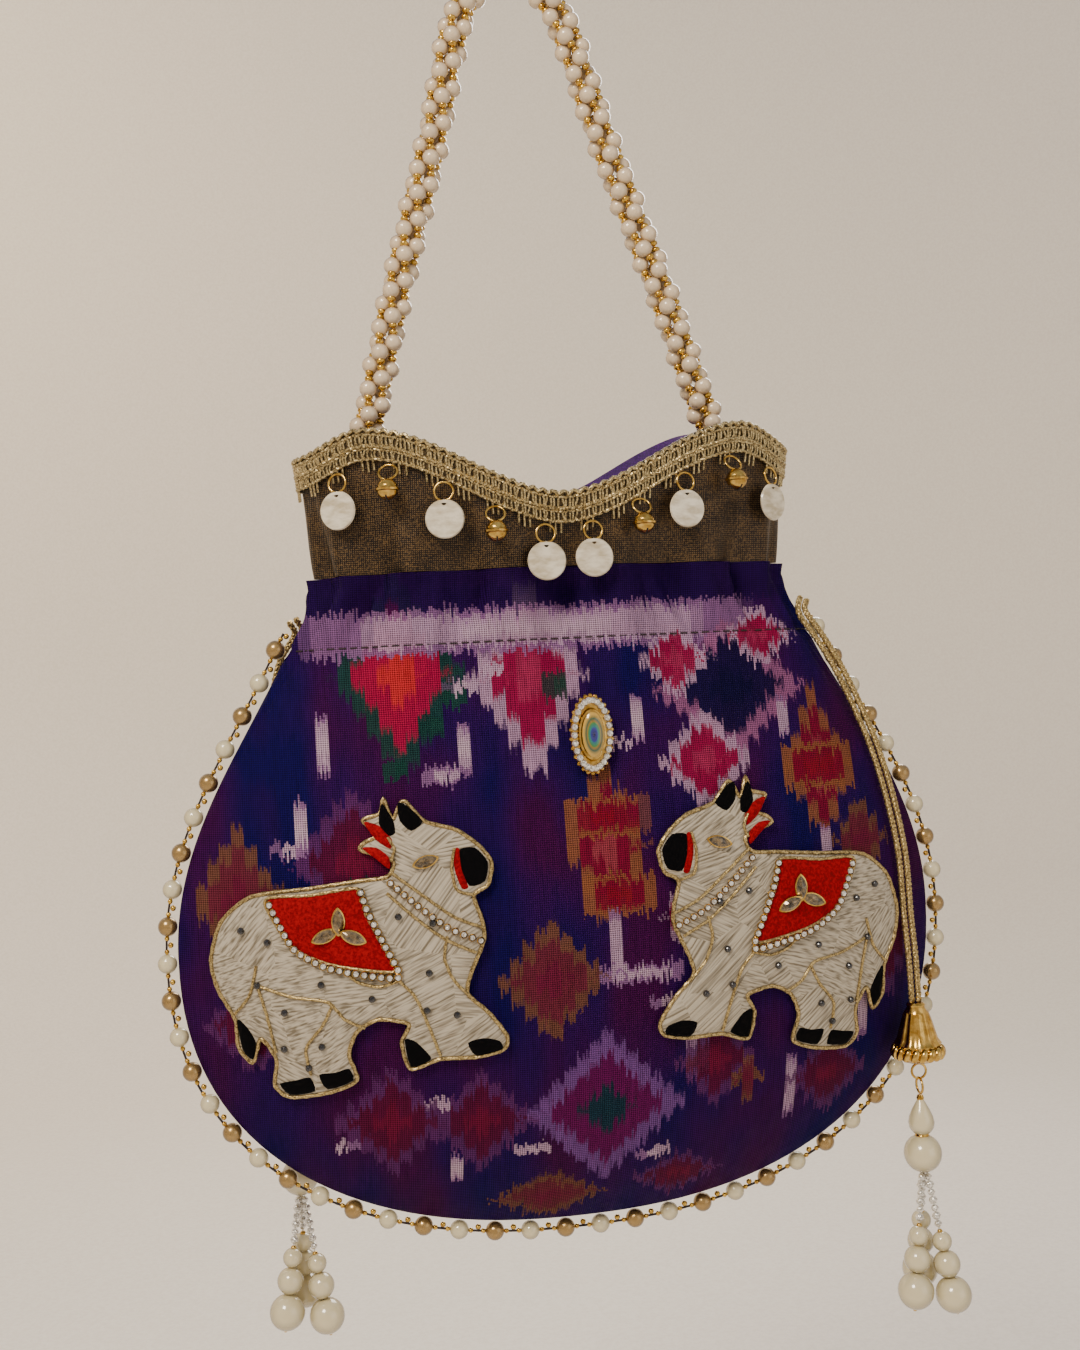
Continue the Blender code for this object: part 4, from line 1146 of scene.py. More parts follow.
    def stitching(self, shop: Workshop, angles: list[float]) -> None:
        """Add the running stitches along the foot of the casing.

        Args:
            shop: The workshop.
            angles: The angles round the bag.
        """
        form = shop.form
        builder = Builder()
        line = form.neck_z - self.stitch_drop
        path = [form.point(angle, line, 0.0004, self.crumple(form, line)) for angle in angles]
        path = spaced([*path, path[0]], 0.0034)
        for start, end in zip(path, path[1:]):
            builder.tube([start.lerp(end, share) for share in (0.1, 0.5, 0.75)], 0.00022, sides=5)
        shop.piece("casing_stitches", builder.build("stitches"), [shop.finishes.sewing], "bag",
                   "ikat_cotton_purple")


@dataclass
class MouthLace:
    """The gilt lace round the mouth: two braids, a net and a scalloped edge."""

    height: float = 0.012
    standoff: float = 0.0005
    picot: float = 0.0030
    rib: float = 0.0011
    scallop: float = 0.0095
    edge: float = 0.0086
    dip: float = 0.0036
    step: float = 0.00042
    columns: int = 336
    # Each cord's drop below the rim and its radius, each ladder's top, foot and radius, and the net's rows
    cords: tuple[Point, ...] = ((0.0017, 0.0005), (0.0049, 0.0006), (0.0058, 0.00045), (0.0086, 0.0005))
    ladders: tuple[tuple[float, float, float], ...] = ((0.0018, 0.0048, 0.00046), (0.0059, 0.0085, 0.00038))
    net_rows: tuple[float, ...] = (0.0006, 0.003, 0.006, 0.0088)
    length: float = 0.0

    def build(self, shop: Workshop) -> None:
        """Build the lace.

        Args:
            shop: The workshop.
        """
        form = shop.form
        track = self.track(form)
        builder = Builder()
        for phase in (0.0, 0.5 * math.pi):
            builder.tube(self.wavy(form, track, 0.0011, 0.0011, 2.0 * self.picot, phase, fold=True), 0.00062,
                         sides=7, plies=2, lay=0.0018, loop=True)
        for drop, radius in self.cords:
            builder.tube(self.wavy(form, track, drop, 0.00015, 0.002, 0.0), radius, sides=6, plies=2,
                         lay=0.0016, loop=True)
        for top, foot, radius in self.ladders:
            self.ribs(builder, form, track, (top, foot), radius)
        for share in (1.0, 0.55):
            builder.tube(self.scallops(form, track, share), 0.00058, sides=6, plies=2, lay=0.0018, loop=True)
        self.spokes(builder, form, track)
        shop.piece("lace_braids", builder.build("lace"), [shop.finishes.lace], "bag", "lace_gold_thread", "lace")
        self.net(shop, form)

    def track(self, form: ClothForm) -> list[float]:
        """Return angles at an even pitch along the mouth.

        Args:
            form: The cloth's shape.

        Returns:
            The angles, one step apart.
        """
        fine = np.linspace(0.0, TAU, 4001)
        points = np.array([tuple(form.point(angle, form.rim(angle) - 0.5 * self.height)) for angle in fine])
        lengths = np.concatenate(([0.0], np.cumsum(np.linalg.norm(np.diff(points, axis=0), axis=1))))
        count = int(lengths[-1] / self.step)
        self.length = float(lengths[-1])
        return [float(np.interp(lengths[-1] * step / count, lengths, fine)) for step in range(count)]

    def spot(self, form: ClothForm, angle: float, drop: float, lift: float) -> Vector:
        """Return a point of the lace, at a drop below the rim and a lift off the collar."""
        z = min(form.rim(angle) - drop, form.rim_peak_z)
        return form.point(angle, z, -self.standoff - lift) + Vector((0.0, 0.0, form.rim(angle) - drop - z))

    def ribs(self, builder: Builder, form: ClothForm, track: list[float], reach: Point, radius: float) -> None:
        """Add a row of short threads side by side, each leaning a little its own way.

        Args:
            builder: What collects them.
            form: The cloth's shape.
            track: The angles along the mouth.
            reach: How far below the rim they start and end.
            radius: Their radius.
        """
        count = int(self.length / self.rib)
        for rib in range(count):
            exact = rib * len(track) / count
            lean = 0.9 * math.sin(rib * 2.4) + 0.6 * math.sin(rib * 0.9)
            route = []
            for step in range(4):
                share = step / 3
                angle = track[int(exact + lean * share) % len(track)]
                drop = reach[0] + (reach[1] - reach[0]) * share
                route.append(self.spot(form, angle, drop, 0.0005 + 0.0005 * math.sin(math.pi * share)))
            builder.tube(route, radius, sides=5, plies=2, lay=0.0014)

    def spokes(self, builder: Builder, form: ClothForm, track: list[float]) -> None:
        """Add the threads that fan out inside each scallop.

        Args:
            builder: What collects the form.
            form: The cloth's shape.
            track: The angles along the mouth.
        """
        count = round(self.length / self.scallop)
        for number in range(count):
            for place in (0.32, 0.5, 0.68):
                angle = track[int((number + place) * len(track) / count) % len(track)]
                low = self.dip * math.sin(math.pi * place) ** 0.8
                route = [self.spot(form, angle, self.edge + low * step / 3, 0.0006) for step in range(4)]
                builder.tube(route, 0.00034, sides=5)

    def wavy(self, form: ClothForm, track: list[float], drop: float, amplitude: float, period: float,
             phase: float, fold: bool = False) -> list[Vector]:
        """Return a wave that runs round the mouth.

        Args:
            form: The cloth's shape.
            track: The angles along the mouth.
            drop: How far below the rim it runs.
            amplitude: Its height each way.
            period: The length of one wave.
            phase: Where it starts.
            fold: Whether its low halves are turned up, so that it makes a row of loops.

        Returns:
            The wave's points.
        """
        waves = round(self.length / period)
        route = []
        for index, angle in enumerate(track):
            turn = TAU * waves * index / len(track) + phase
            swing = -abs(math.sin(turn)) if fold else math.sin(turn)
            lift = 0.0008 + 0.0002 * math.cos(2.0 * turn)
            route.append(self.spot(form, angle, drop + amplitude * swing, lift))
        return route

    def scallops(self, form: ClothForm, track: list[float], share: float) -> list[Vector]:
        """Return the scalloped edge, or a smaller one inside it.

        Args:
            form: The cloth's shape.
            track: The angles along the mouth.
            share: The share of the full depth.

        Returns:
            The points of the edge.
        """
        count = round(self.length / self.scallop)
        route = []
        for index, angle in enumerate(track):
            place = (count * index / len(track)) % 1.0
            arc = math.sin(math.pi * place) ** 0.8
            route.append(self.spot(form, angle, self.edge + share * self.dip * arc, 0.0007))
        return route

    def net(self, shop: Workshop, form: ClothForm) -> None:
        """Add the close net behind the braids, its finish painted dark as the shade behind them.

        Args:
            shop: The workshop.
            form: The cloth's shape.
        """
        points = [self.spot(form, TAU * column / self.columns, drop, lift)
                  for lift, rows in ((0.0, self.net_rows[::-1]), (0.0004, self.net_rows))
                  for drop in rows for column in range(self.columns)]
        mesh = shop.mesh("net", points, Builder.bands(2 * len(self.net_rows), self.columns, loop=True))
        shop.piece("lace_net", mesh, [shop.finishes.shadow], "bag", "lace_gold_thread", "lace")


@dataclass
class PearlHandle:
    """The handle: four strands of pearls with seed beads between, twisted together."""

    stations: tuple[Point, ...] = ((0.0145, -0.0135), (0.0265, -0.054), (0.041, -0.100), (0.0535, -0.143))
    foot: Point = (0.0618, -0.170)
    axis_x: float = 0.005
    strands: int = 4
    pearl_radius: float = 0.00272
    seed_radius: float = 0.0014
    pitch: float = 0.0076
    spread: float = 0.0030
    turns: float = 5.5

    def route(self) -> list[Vector]:
        """Return the handle's centreline, from its left foot to its right foot.

        Returns:
            The points of the line.
        """
        lean = self.axis_x / abs(self.foot[1])
        half = [*self.stations, (self.foot[0] - 0.0006, -0.158), self.foot]
        left = [Vector((-x - lean * z, 0.0, z)) for x, z in reversed(half)]
        right = [Vector((x - lean * z, 0.0, z)) for x, z in half]
        return smooth_route([*left, Vector((0.0, 0.0, 0.0)), *right], 16)

    def build(self, shop: Workshop) -> None:
        """Build the pearls, the seed beads and the threads.

        Args:
            shop: The workshop.
        """
        centre = spaced(self.route(), 0.0005)
        count = len(centre)
        rows = round((count - 1) * 0.0005 / self.pitch)
        builder = Builder()
        for strand in range(self.strands):
            line = [self.strand_point(centre, index / (count - 1), strand) for index in range(count)]
            builder.tube(spaced(line, 0.003), 0.0003, 2, sides=5)
            for row in range(rows):
                place = (row + 0.25 + 0.5 * (strand % 2)) / rows
                spot = self.strand_point(centre, place, strand)
                ahead = self.strand_point(centre, min(1.0, place + 0.002), strand) - spot
                builder.ball(spot, self.pearl_radius, 0, ahead if ahead.length else None, squash=0.96)
                for step in (-0.5 + 0.16, -0.5 - 0.10):
                    seed = self.strand_point(centre, min(1.0, max(0.0, place + step / rows)), strand)
                    builder.ball(seed, self.seed_radius, 1, ahead if ahead.length else None, squash=0.75,
                                 rings=5, sides=7)
        shop.piece("handle_pearls", builder.build("handle"),
                   [shop.finishes.pearl, shop.finishes.seed, shop.finishes.thread], "bag", "pearl_cream", "handle")

    def strand_point(self, centre: list[Vector], place: float, strand: int) -> Vector:
        """Return a point of one strand.

        Args:
            centre: The handle's centreline at an even pitch.
            place: The share of its length.
            strand: Which strand it is.

        Returns:
            The point.
        """
        exact = place * (len(centre) - 1)
        index = min(len(centre) - 2, int(exact))
        spot = centre[index].lerp(centre[index + 1], exact - index)
        ahead = (centre[index + 1] - centre[index]).normalized()
        flat = ahead.cross(BACKWARD).normalized()
        turn = TAU * (self.turns * place + strand / self.strands)
        return spot + self.spread * (math.cos(turn) * flat + math.sin(turn) * BACKWARD)


@dataclass
class SeamBeads:
    """The beads along the side seam, gold and cream by turns, on a corded edge."""

    radius: float = 0.0029
    pitch: float = 0.0109
    top_z: float = -0.201
    gap: float = 0.0003

    def route(self, form: ClothForm) -> list[Vector]:
        """Return the line of the beads, from the left of the neck to the right.

        Args:
            form: The cloth's shape.

        Returns:
            The points of the line.
        """
        half = []
        for step in range(60):
            z = self.top_z + (form.widest_z - self.top_z) * step / 60
            half.append(Vector((form.section(z)[0] + form.gather(z), 0.0, z)))
        for step in range(61):
            turn = 0.5 * math.pi * step / 60
            half.append(Vector((form.half_width * math.cos(turn) ** (2.0 / form.roundness), 0.0,
                                form.widest_z - form.drop * math.sin(turn) ** (2.0 / form.roundness))))
        outset = []
        for index, point in enumerate(half):
            ahead = half[min(index + 1, len(half) - 1)] - half[max(index - 1, 0)]
            outset.append(point + Vector((-ahead.z, 0.0, ahead.x)).normalized() * (self.radius + self.gap))
        outset[-1].x = 0.0
        right = [Vector((form.axis_x + point.x, 0.0, point.z)) for point in outset]
        left = [Vector((form.axis_x - point.x, 0.0, point.z)) for point in outset[:-1]]
        return left + list(reversed(right))

    def build(self, shop: Workshop) -> None:
        """Build the beads, their thread and the small beads beside each one.

        Args:
            shop: The workshop.
        """
        route = self.route(shop.form)
        rows = spaced(route, self.pitch)
        builder = Builder()
        builder.tube(spaced(route, 0.0015), 0.00035, 2, sides=6)
        middle = Vector((shop.form.axis_x, 0.0, shop.form.widest_z))
        for index, (start, end) in enumerate(zip(rows, rows[1:])):
            spot = start.lerp(end, 0.5)
            ahead = (end - start).normalized()
            builder.ball(spot, self.radius * 0.98, index % 2, ahead, rings=12, sides=18)
            for way in (-1.0, 1.0):
                builder.ball(spot + ahead * way * (self.radius + 0.0006), 0.0008, 3, ahead, rings=5, sides=7)
            inward = (middle - start).normalized()
            builder.ball(start + inward * 0.0012, 0.0009, 3, ahead, rings=5, sides=7)
        shop.piece("seam_bead_row", builder.build("beads"),
                   [shop.finishes.bronze, shop.finishes.ivory, shop.finishes.sewing, shop.finishes.seed],
                   "bag", "pearl_cream", "seam_beads")


@dataclass
class Charm:
    """One charm of the lace: a jump ring with a shell disc or a jingle bell."""

    node: str
    pivot: Vector
    axis: Vector
    ring_radius: float = 0.0027
    ring_wire: float = 0.00035
    disc_radius: float = 0.0056
    disc_thickness: float = 0.0011
    bell_radius: float = 0.0032
    disc_tilt: float = math.radians(8)
    bell_tilt: float = math.radians(34)
    bite: float = 0.0004

    def build(self, shop: Workshop) -> None:
        """Build the charm where its solid hangs.

        Args:
            shop: The workshop.
        """
        outward = UP.cross(self.axis).normalized()
        bell = "bell" in self.node
        tilt = self.bell_tilt if bell else self.disc_tilt
        down = outward * math.sin(tilt) + Vector((0.0, 0.0, -math.cos(tilt)))
        side = outward.cross(UP).normalized()
        builder = Builder()
        middle = self.pivot + down * self.ring_radius
        ring = circle(middle, self.ring_radius, side, down, 28)
        builder.tube(ring, self.ring_wire, 0, sides=8, loop=True)
        foot = self.pivot + down * (2.0 * self.ring_radius)
        if bell:
            self.bell(builder, foot - Vector((0.0, 0.0, self.bell_radius - self.bite)), side)
            finishes = [shop.finishes.gold, shop.finishes.sewing]
            slot = "gold_plate"
        else:
            self.disc(builder, foot - Vector((0.0, 0.0, self.disc_radius - self.bite)), side, outward)
            finishes = [shop.finishes.gold, shop.finishes.shell]
            slot = "shell_white"
        shop.piece(f"{self.node}_dressed", builder.build("charm"), finishes, f"{self.node}_body", slot, self.node)

    def bell(self, builder: Builder, centre: Vector, side: Vector) -> None:
        """Add the bell, its waist band and the cross slots under it.

        Args:
            builder: What collects the form.
            centre: Its middle.
            side: The direction across it.
        """
        radius = self.bell_radius * 0.97
        profile = [(radius * math.sin(math.pi * step / 18), radius * math.cos(math.pi * step / 18))
                   for step in range(19)]
        profile[9:10] = [(radius, 0.0005), (radius * 1.10, 0.0003), (radius * 1.10, -0.0003), (radius, -0.0005)]
        builder.turned(centre, UP, profile, 0, 24)
        for turn in (0.0, 0.5 * math.pi):
            way = (Matrix.Rotation(turn, 3, UP) @ side).normalized()
            slot = [centre + radius * 0.985 * (math.sin(swing) * way - math.cos(swing) * UP)
                    for swing in [math.radians(angle) for angle in range(-58, 59, 8)]]
            builder.tube(slot, 0.00028, 1, sides=6)

    def disc(self, builder: Builder, centre: Vector, side: Vector, outward: Vector) -> None:
        """Add the shell disc, with the hole that the ring runs through.

        Args:
            builder: What collects the form.
            centre: Its middle.
            side: The direction across it.
            outward: The direction away from the bag.
        """
        sides = 36
        hole = Vector((0.0, 0.0, self.disc_radius - 0.0011))
        points: list[Vector] = []
        rows = ((0.0007, 1.0), (0.0007, -1.0), (self.disc_radius - 0.0003, -1.0), (self.disc_radius, 0.0),
                (self.disc_radius - 0.0003, 1.0), (self.disc_radius * 0.6, 1.25))
        for radius, depth in rows:
            share = 1.0 if radius < 0.001 else (0.0 if radius > 0.9 * self.disc_radius else 0.25)
            for step in range(sides):
                turn = TAU * step / sides
                spot = centre + hole * share + outward * depth * 0.45 * self.disc_thickness
                points.append(spot + radius * (math.cos(turn) * side + math.sin(turn) * UP))
        builder.add(points, Builder.bands(len(rows), sides, loop=True), 1)


@dataclass
class Tassel:
    """A tassel: fluted cap, pearl drop and three strands of pearls and cut beads."""

    side: str
    cap_height: float = 0.0125
    skirt: float = 0.0066
    ring: float = 0.0090
    pearl: float = 0.0058
    pearls: tuple[float, ...] = (0.0030, 0.0041, 0.0055)
    fan: float = math.radians(9.5)
    start: float = 0.0130
    step: float = 0.0025
    loop_radius: float = 0.0023
    loop_wire: float = 0.0004
    # Profiles as radius and height below the top: the cap's two upper forms, then the drop's three
    crown: tuple[Point, ...] = ((0.0, 0.0), (0.0024, 0.0), (0.0029, -0.0006), (0.0027, -0.0014),
                                (0.0037, -0.0030))
    bell: tuple[Point, ...] = ((0.0036, -0.0028), (0.0044, -0.0052), (0.0053, -0.0085), (0.0060, -0.0110))
    bail: tuple[Point, ...] = ((0.0, 0.0), (0.0008, -0.0001), (0.0012, -0.0010), (0.0009, -0.0018))
    teardrop: tuple[Point, ...] = ((0.0009, -0.0014), (0.0016, -0.0026), (0.0027, -0.0046), (0.0036, -0.0066),
                                   (0.0040, -0.0084), (0.0038, -0.0100), (0.0029, -0.0114),
                                   (0.0014, -0.0122), (0.0, -0.0124))
    washer: tuple[Point, ...] = ((0.0019, -0.0118), (0.0022, -0.0124), (0.0019, -0.0130))

    def build(self, shop: Workshop, joints: dict[str, dict]) -> list[bpy.types.Object]:
        """Build the tassel's three kinds of piece.

        Args:
            shop: The workshop.
            joints: The bag's joints by the body that each one moves.

        Returns:
            The cap and the drop.
        """
        low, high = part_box(f"{self.side}_tassel_cap")
        top = Vector(((low.x + high.x) / 2.0, (low.y + high.y) / 2.0, high.z))
        for index in range(3):
            joint = joints[f"{self.side}_pearl_strand_{index + 1}_body"]
            self.strand(shop, index, Vector(joint["pos_m"]), Vector(joint["axis"]))
        drop = joints[f"{self.side}_pearl_drop_body"]
        return [self.cap(shop, top), self.drop(shop, Vector(drop["pos_m"]))]

    def cap(self, shop: Workshop, top: Vector) -> bpy.types.Object:
        """Build the fluted cap, its beaded rim and the loop under it.

        Args:
            shop: The workshop.
            top: Where it hangs from.

        Returns:
            The piece.
        """
        foot = -self.cap_height
        builder = Builder()
        builder.turned(top, UP, self.crown, 0, 32)
        builder.turned(top, UP, [*self.bell, (0.0071, foot)], 0, 64, flute=(12, 0.045))
        builder.turned(top, UP, [(0.0065, foot), (self.skirt, foot - 0.0040), (0.0050, foot - 0.0052),
                                 (0.0014, foot - 0.0060), (0.0, foot - 0.0060)], 0, 32)
        for index in range(18):
            turn = TAU * index / 18
            out = Vector((math.cos(turn), math.sin(turn), 0.0))
            centre = top + out * (self.ring - 0.0020) + UP * (foot - 0.0025)
            along = Vector((-out.y, out.x, 0.0)) * 0.45 + UP
            builder.ball(centre, 0.0014, 0, along, squash=1.55, rings=8, sides=10)
        loop_top = top + UP * (foot - 0.0062)
        for centre_z, way in ((-0.0024, Vector((1.0, 0.0, 0.0))), (-0.0068, BACKWARD)):
            ring = circle(loop_top + UP * centre_z, self.loop_radius, way, UP, 24)
            builder.tube(ring, self.loop_wire, 0, sides=8, loop=True)
        return shop.piece(f"{self.side}_cap_fluted", builder.build("cap"), [shop.finishes.gold], "bag",
                          "gold_plate", f"{self.side}_tassel_cap")

    def drop(self, shop: Workshop, top: Vector) -> bpy.types.Object:
        """Build the teardrop pearl and the round one under it.

        Args:
            shop: The workshop.
            top: Where it hangs from.

        Returns:
            The piece.
        """
        builder = Builder()
        for profile, mark, sides in ((self.bail, 1, 16), (self.teardrop, 0, 24), (self.washer, 1, 20)):
            builder.turned(top, UP, profile, mark, sides)
        builder.ball(top - UP * (0.0125 + self.pearl - 0.0003), self.pearl, 0, rings=20, sides=28)
        return shop.piece(f"{self.side}_drop_pearls", builder.build("drop"),
                          [shop.finishes.ivory, shop.finishes.gold], f"{self.side}_pearl_drop_body",
                          "pearl_cream", f"{self.side}_pearl_drop")

    def strand(self, shop: Workshop, index: int, top: Vector, axis: Vector) -> None:
        """Build one strand: cut beads on a thread, then three pearls.

        Args:
            shop: The workshop.
            index: Which strand it is.
            top: Where it hangs from.
            axis: The axis that it swings about.
        """
        outward = UP.cross(axis).normalized()
        down = outward * math.sin(self.fan) - Vector((0.0, 0.0, math.cos(self.fan)))
        start = self.start + self.step * index
        builder = Builder()
        builder.tube([top, top + down * start], 0.0003, 2, sides=6)
        beads = int(start / 0.0024)
        for bead in range(beads):
            centre = top + down * (0.0012 + bead * (start - 0.0012) / beads)
            builder.ball(centre, 0.0012 + 0.0002 * (bead % 2), 1, down, squash=0.9, rings=4, sides=6)
        travel = start
        for radius in self.pearls:
            builder.ball(top + down * (travel + radius), radius, 0, down, rings=16, sides=22)
            builder.ball(top + down * (travel + 0.0001), 0.0009, 3, down, rings=6, sides=8)
            travel += radius * 1.94
        builder.ball(top + down * (travel + 0.0002), 0.0007, 3, down, rings=6, sides=8)
        shop.piece(f"{self.side}_strand_{index + 1}_pearls", builder.build("strand"),
                   [shop.finishes.ivory, shop.finishes.crystal, shop.finishes.thread, shop.finishes.gold],
                   f"{self.side}_pearl_strand_{index + 1}_body", "pearl_cream",
                   f"{self.side}_pearl_strand_{index + 1}")


@dataclass
class Cow:
    """An applique cow: stitched pad, corded outlines, felt parts, stones and beads."""

    side: str
    x: float
    z: float = -0.2905
    unit: float = 0.000275
    lift: float = 0.0008
    thick: float = 0.0018
    cord: float = 0.00064
    # Flat forms in the cow's own units, with its head to the right and its middle at nought
    outline: tuple[Point, ...] = (
        (32, 155), (40, 133), (52, 152), (72, 130), (103, 120), (125, 103), (137, 85), (132, 63), (117, 53),
        (124, 28), (125, 8), (110, -26), (106, -46), (126, -66), (144, -92), (140, -106), (112, -112), (76, -112),
        (46, -121), (38, -93), (46, -74), (16, -68), (-6, -80), (-15, -104), (-8, -131), (-36, -144),
        (-76, -149), (-91, -136), (-88, -108), (-103, -86), (-112, -112), (-126, -96), (-128, -66), (-144, -36),
        (-150, -5), (-138, 34), (-106, 60), (-46, 67), (4, 73), (32, 76), (38, 92), (6, 104), (12, 112),
        (24, 118), (10, 134), (28, 140))
    saddle: tuple[Point, ...] = ((-84, 60), (-46, 61), (2, 66), (8, 40), (22, 10), (36, -18), (4, -16),
                                 (-34, -8), (-68, 10), (-92, 52))
    # Each row of cut stones: its line, how far it stands off the pad, its pitch and the stones' radius
    chains: tuple[tuple[tuple[Point, ...], float, float, float], ...] = (
        (((-88, 52), (-66, 8), (-34, -12), (4, -21), (38, -24), (25, 8), (10, 42), (4, 62)), 0.0013, 0.00235,
         0.00102),
        (((34, 70), (60, 46), (90, 22), (121, 8)), 0.0008, 0.00245, 0.00092))
    velvet: tuple[tuple[Point, ...], ...] = (
        ((105, 100), (121, 101), (133, 86), (129, 67), (113, 63), (106, 80)),
        ((30, 150), (40, 134), (42, 120), (34, 117), (26, 130)),
        ((46, 150), (56, 146), (70, 130), (58, 121), (47, 132)),
        ((-126, -66), (-116, -74), (-108, -90), (-112, -108), (-122, -98)),
        ((-86, -134), (-76, -146), (-51, -142), (-55, -127), (-70, -130)),
        ((-46, -124), (-38, -140), (-12, -131), (-16, -118), (-30, -122)),
        ((41, -90), (52, -92), (66, -108), (64, -113), (46, -118)),
        ((104, -96), (120, -92), (136, -96), (138, -105), (112, -110)))
    ears: tuple[tuple[Point, ...], ...] = (
        ((8, 106), (22, 94), (34, 84), (34, 96), (22, 106)),
        ((11, 132), (22, 114), (36, 104), (38, 114), (26, 128)),
        ((99, 100), (105, 101), (106, 80), (112, 62), (105, 61), (99, 80)))
    seams: tuple[tuple[Point, ...], ...] = (
        ((36, 80), (66, 56), (96, 33), (126, 20)), ((30, 60), (56, 35), (86, 11), (116, -4)),
        ((28, -20), (52, -44), (66, -78), (76, -108)), ((88, 14), (84, -8), (92, -30), (106, -46)),
        ((-104, -30), (-70, -42), (-34, -48), (-18, -66), (2, -76)),
        ((-30, -52), (-40, -72), (-58, -96), (-54, -124)), ((-128, -60), (-112, -40), (-104, -10)),
        ((-104, -30), (-96, -60), (-88, -100)), ((36, 92), (40, 104), (34, 116)),
        ((40, -28), (18, -34), (-4, -28), (-20, -12)), ((100, 102), (96, 82), (100, 60), (117, 54)))
    beads: tuple[Point, ...] = (
        (-92, 14), (-104, -30), (-80, -96), (-78, -58), (-42, -94), (-40, -30), (10, -46), (40, 36), (68, -22),
        (94, -66), (74, 28), (-118, 26), (-56, -116), (64, -60))

    def place(self, across: float, up: float, lift: float, form: ClothForm) -> Vector:
        """Return a point on the front of the bag from a place in the cow's own units."""
        flip = math.copysign(1.0, -self.x)
        return form.front(form.axis_x + self.x + flip * across * self.unit, self.z + up * self.unit, lift)

    def build(self, shop: Workshop) -> None:
        """Build the whole cow.

        Args:
            shop: The workshop.
        """
        form = shop.form
        shop.piece(f"{self.side}_cow_pad", self.pad(self.outline, self.lift, self.thick, 7.0, form),
                   [shop.finishes.stitch], "bag", "cotton_thread_white", f"{self.side}_cow")
        base = self.lift + self.thick
        shop.piece(f"{self.side}_saddle_felt", self.pad(self.saddle, base + 0.0002, 0.0010, 5.0, form),
                   [shop.finishes.felt], "bag", "felt_red", f"{self.side}_cow_saddle")
        self.patches(shop, base)
        self.cords(shop, base)
        self.stones(shop, base)

    def pad(self, outline: tuple[Point, ...], lift: float, thick: float, crown: float,
            form: ClothForm) -> bpy.types.Mesh:
        """Build a padded patch that follows the bag's front.

        Args:
            outline: Its outline in the cow's units.
            lift: How far its back stands off the cloth.
            thick: How thick it is.
            crown: How far from its edge it reaches its full thickness, in the cow's units.
            form: The cloth's shape.

        Returns:
            The mesh.
        """
        corners = smooth_loop(outline, 3)
        ring, step = np.array(corners), crown * 0.85
        low, high = ring.min(axis=0), ring.max(axis=0)
        points = [Vector(corner) for corner in corners]
        points += [Vector((x, z)) for x in np.arange(low[0], high[0], step) for z in np.arange(low[1], high[1], step)
                   if edge_distance(ring, x, z) > 0.4 * step]
        flat, _, triangles = delaunay_2d_cdt(points, [], [list(range(len(corners)))], 1, 1e-4)[:3]
        work = bmesh.new()
        lower, raised = [], []
        for x, z in flat:
            away = min(1.0, edge_distance(ring, x, z) / crown)
            lower.append(work.verts.new(self.place(x, z, lift, form)))
            raised.append(work.verts.new(self.place(x, z, lift + thick * (0.45 + 0.55 * math.sqrt(away)), form)))
        rim = Counter()
        for triangle in triangles:
            work.faces.new([lower[index] for index in triangle])
            work.faces.new([raised[index] for index in triangle])
            rim.update(frozenset(pair) for pair in zip(triangle, triangle[1:] + triangle[:1]))
        for pair in (tuple(pair) for pair, uses in rim.items() if uses == 1):
            work.faces.new([lower[pair[0]], lower[pair[1]], raised[pair[1]], raised[pair[0]]])
        bmesh.ops.delete(work, geom=[vert for vert in work.verts if not vert.link_faces], context="VERTS")
        bmesh.ops.recalc_face_normals(work, faces=work.faces)
        mesh = bpy.data.meshes.new("pad")
        work.to_mesh(mesh)
        work.free()
        mesh.shade_smooth()
        return mesh

    def patches(self, shop: Workshop, base: float) -> None:
        """Add the black hooves, muzzle, horns and tail, and the red ears and mouth.

        Args:
            shop: The workshop.
            base: How far the pad's face stands off the cloth.
        """
        for name, group, finish, slot in (("velvet", self.velvet, shop.finishes.black, "cotton_thread_white"),
                                          ("ears", self.ears, shop.finishes.felt, "felt_red")):
            builder = Builder()
            for outline in group:
                mesh = self.pad(outline, base - 0.0004, 0.0009, 4.0, shop.form)
                builder.add([vert.co.copy() for vert in mesh.vertices],
                            [tuple(face.vertices) for face in mesh.polygons])
            shop.piece(f"{self.side}_cow_{name}", builder.build("patches"), [finish], "bag", slot)

    def line(self, builder: Builder, points: tuple[Point, ...], lift: float, form: ClothForm, radius: float,
             loop: bool = False) -> None:
        """Add one twisted cord along a line in the cow's units.

        Args:
            builder: What collects the form.
            points: The points of the line.
            lift: How far it stands off the cloth.
            form: The cloth's shape.
            radius: The cord's radius.
            loop: Whether it closes on itself.
        """
        dense = smooth_loop(points, 6, loop=loop)
        route = [self.place(x, z, lift, form) for x, z in dense]
        if loop:
            route.append(route[0])
        even = spaced(route, 0.0007)
        builder.tube(even[:-1] if loop else even, radius, sides=8, plies=3, lay=0.0026, loop=loop)

    def cords(self, shop: Workshop, base: float) -> None:
        """Add the gilt cords: the outline, the leg and neck lines and the saddle's edge.

        Args:
            shop: The workshop.
            base: How far the pad's face stands off the cloth.
        """
        form = shop.form
        builder = Builder()
        self.line(builder, self.outline, self.lift + 0.0011, form, self.cord, loop=True)
        self.line(builder, self.saddle, base + 0.0008, form, self.cord * 0.8, loop=True)
        for points in self.seams:
            self.line(builder, points, base + 0.0003, form, self.cord * 0.72)
        shop.piece(f"{self.side}_cow_cords", builder.build("cords"), [shop.finishes.zari], "bag",
                   "lace_gold_thread")

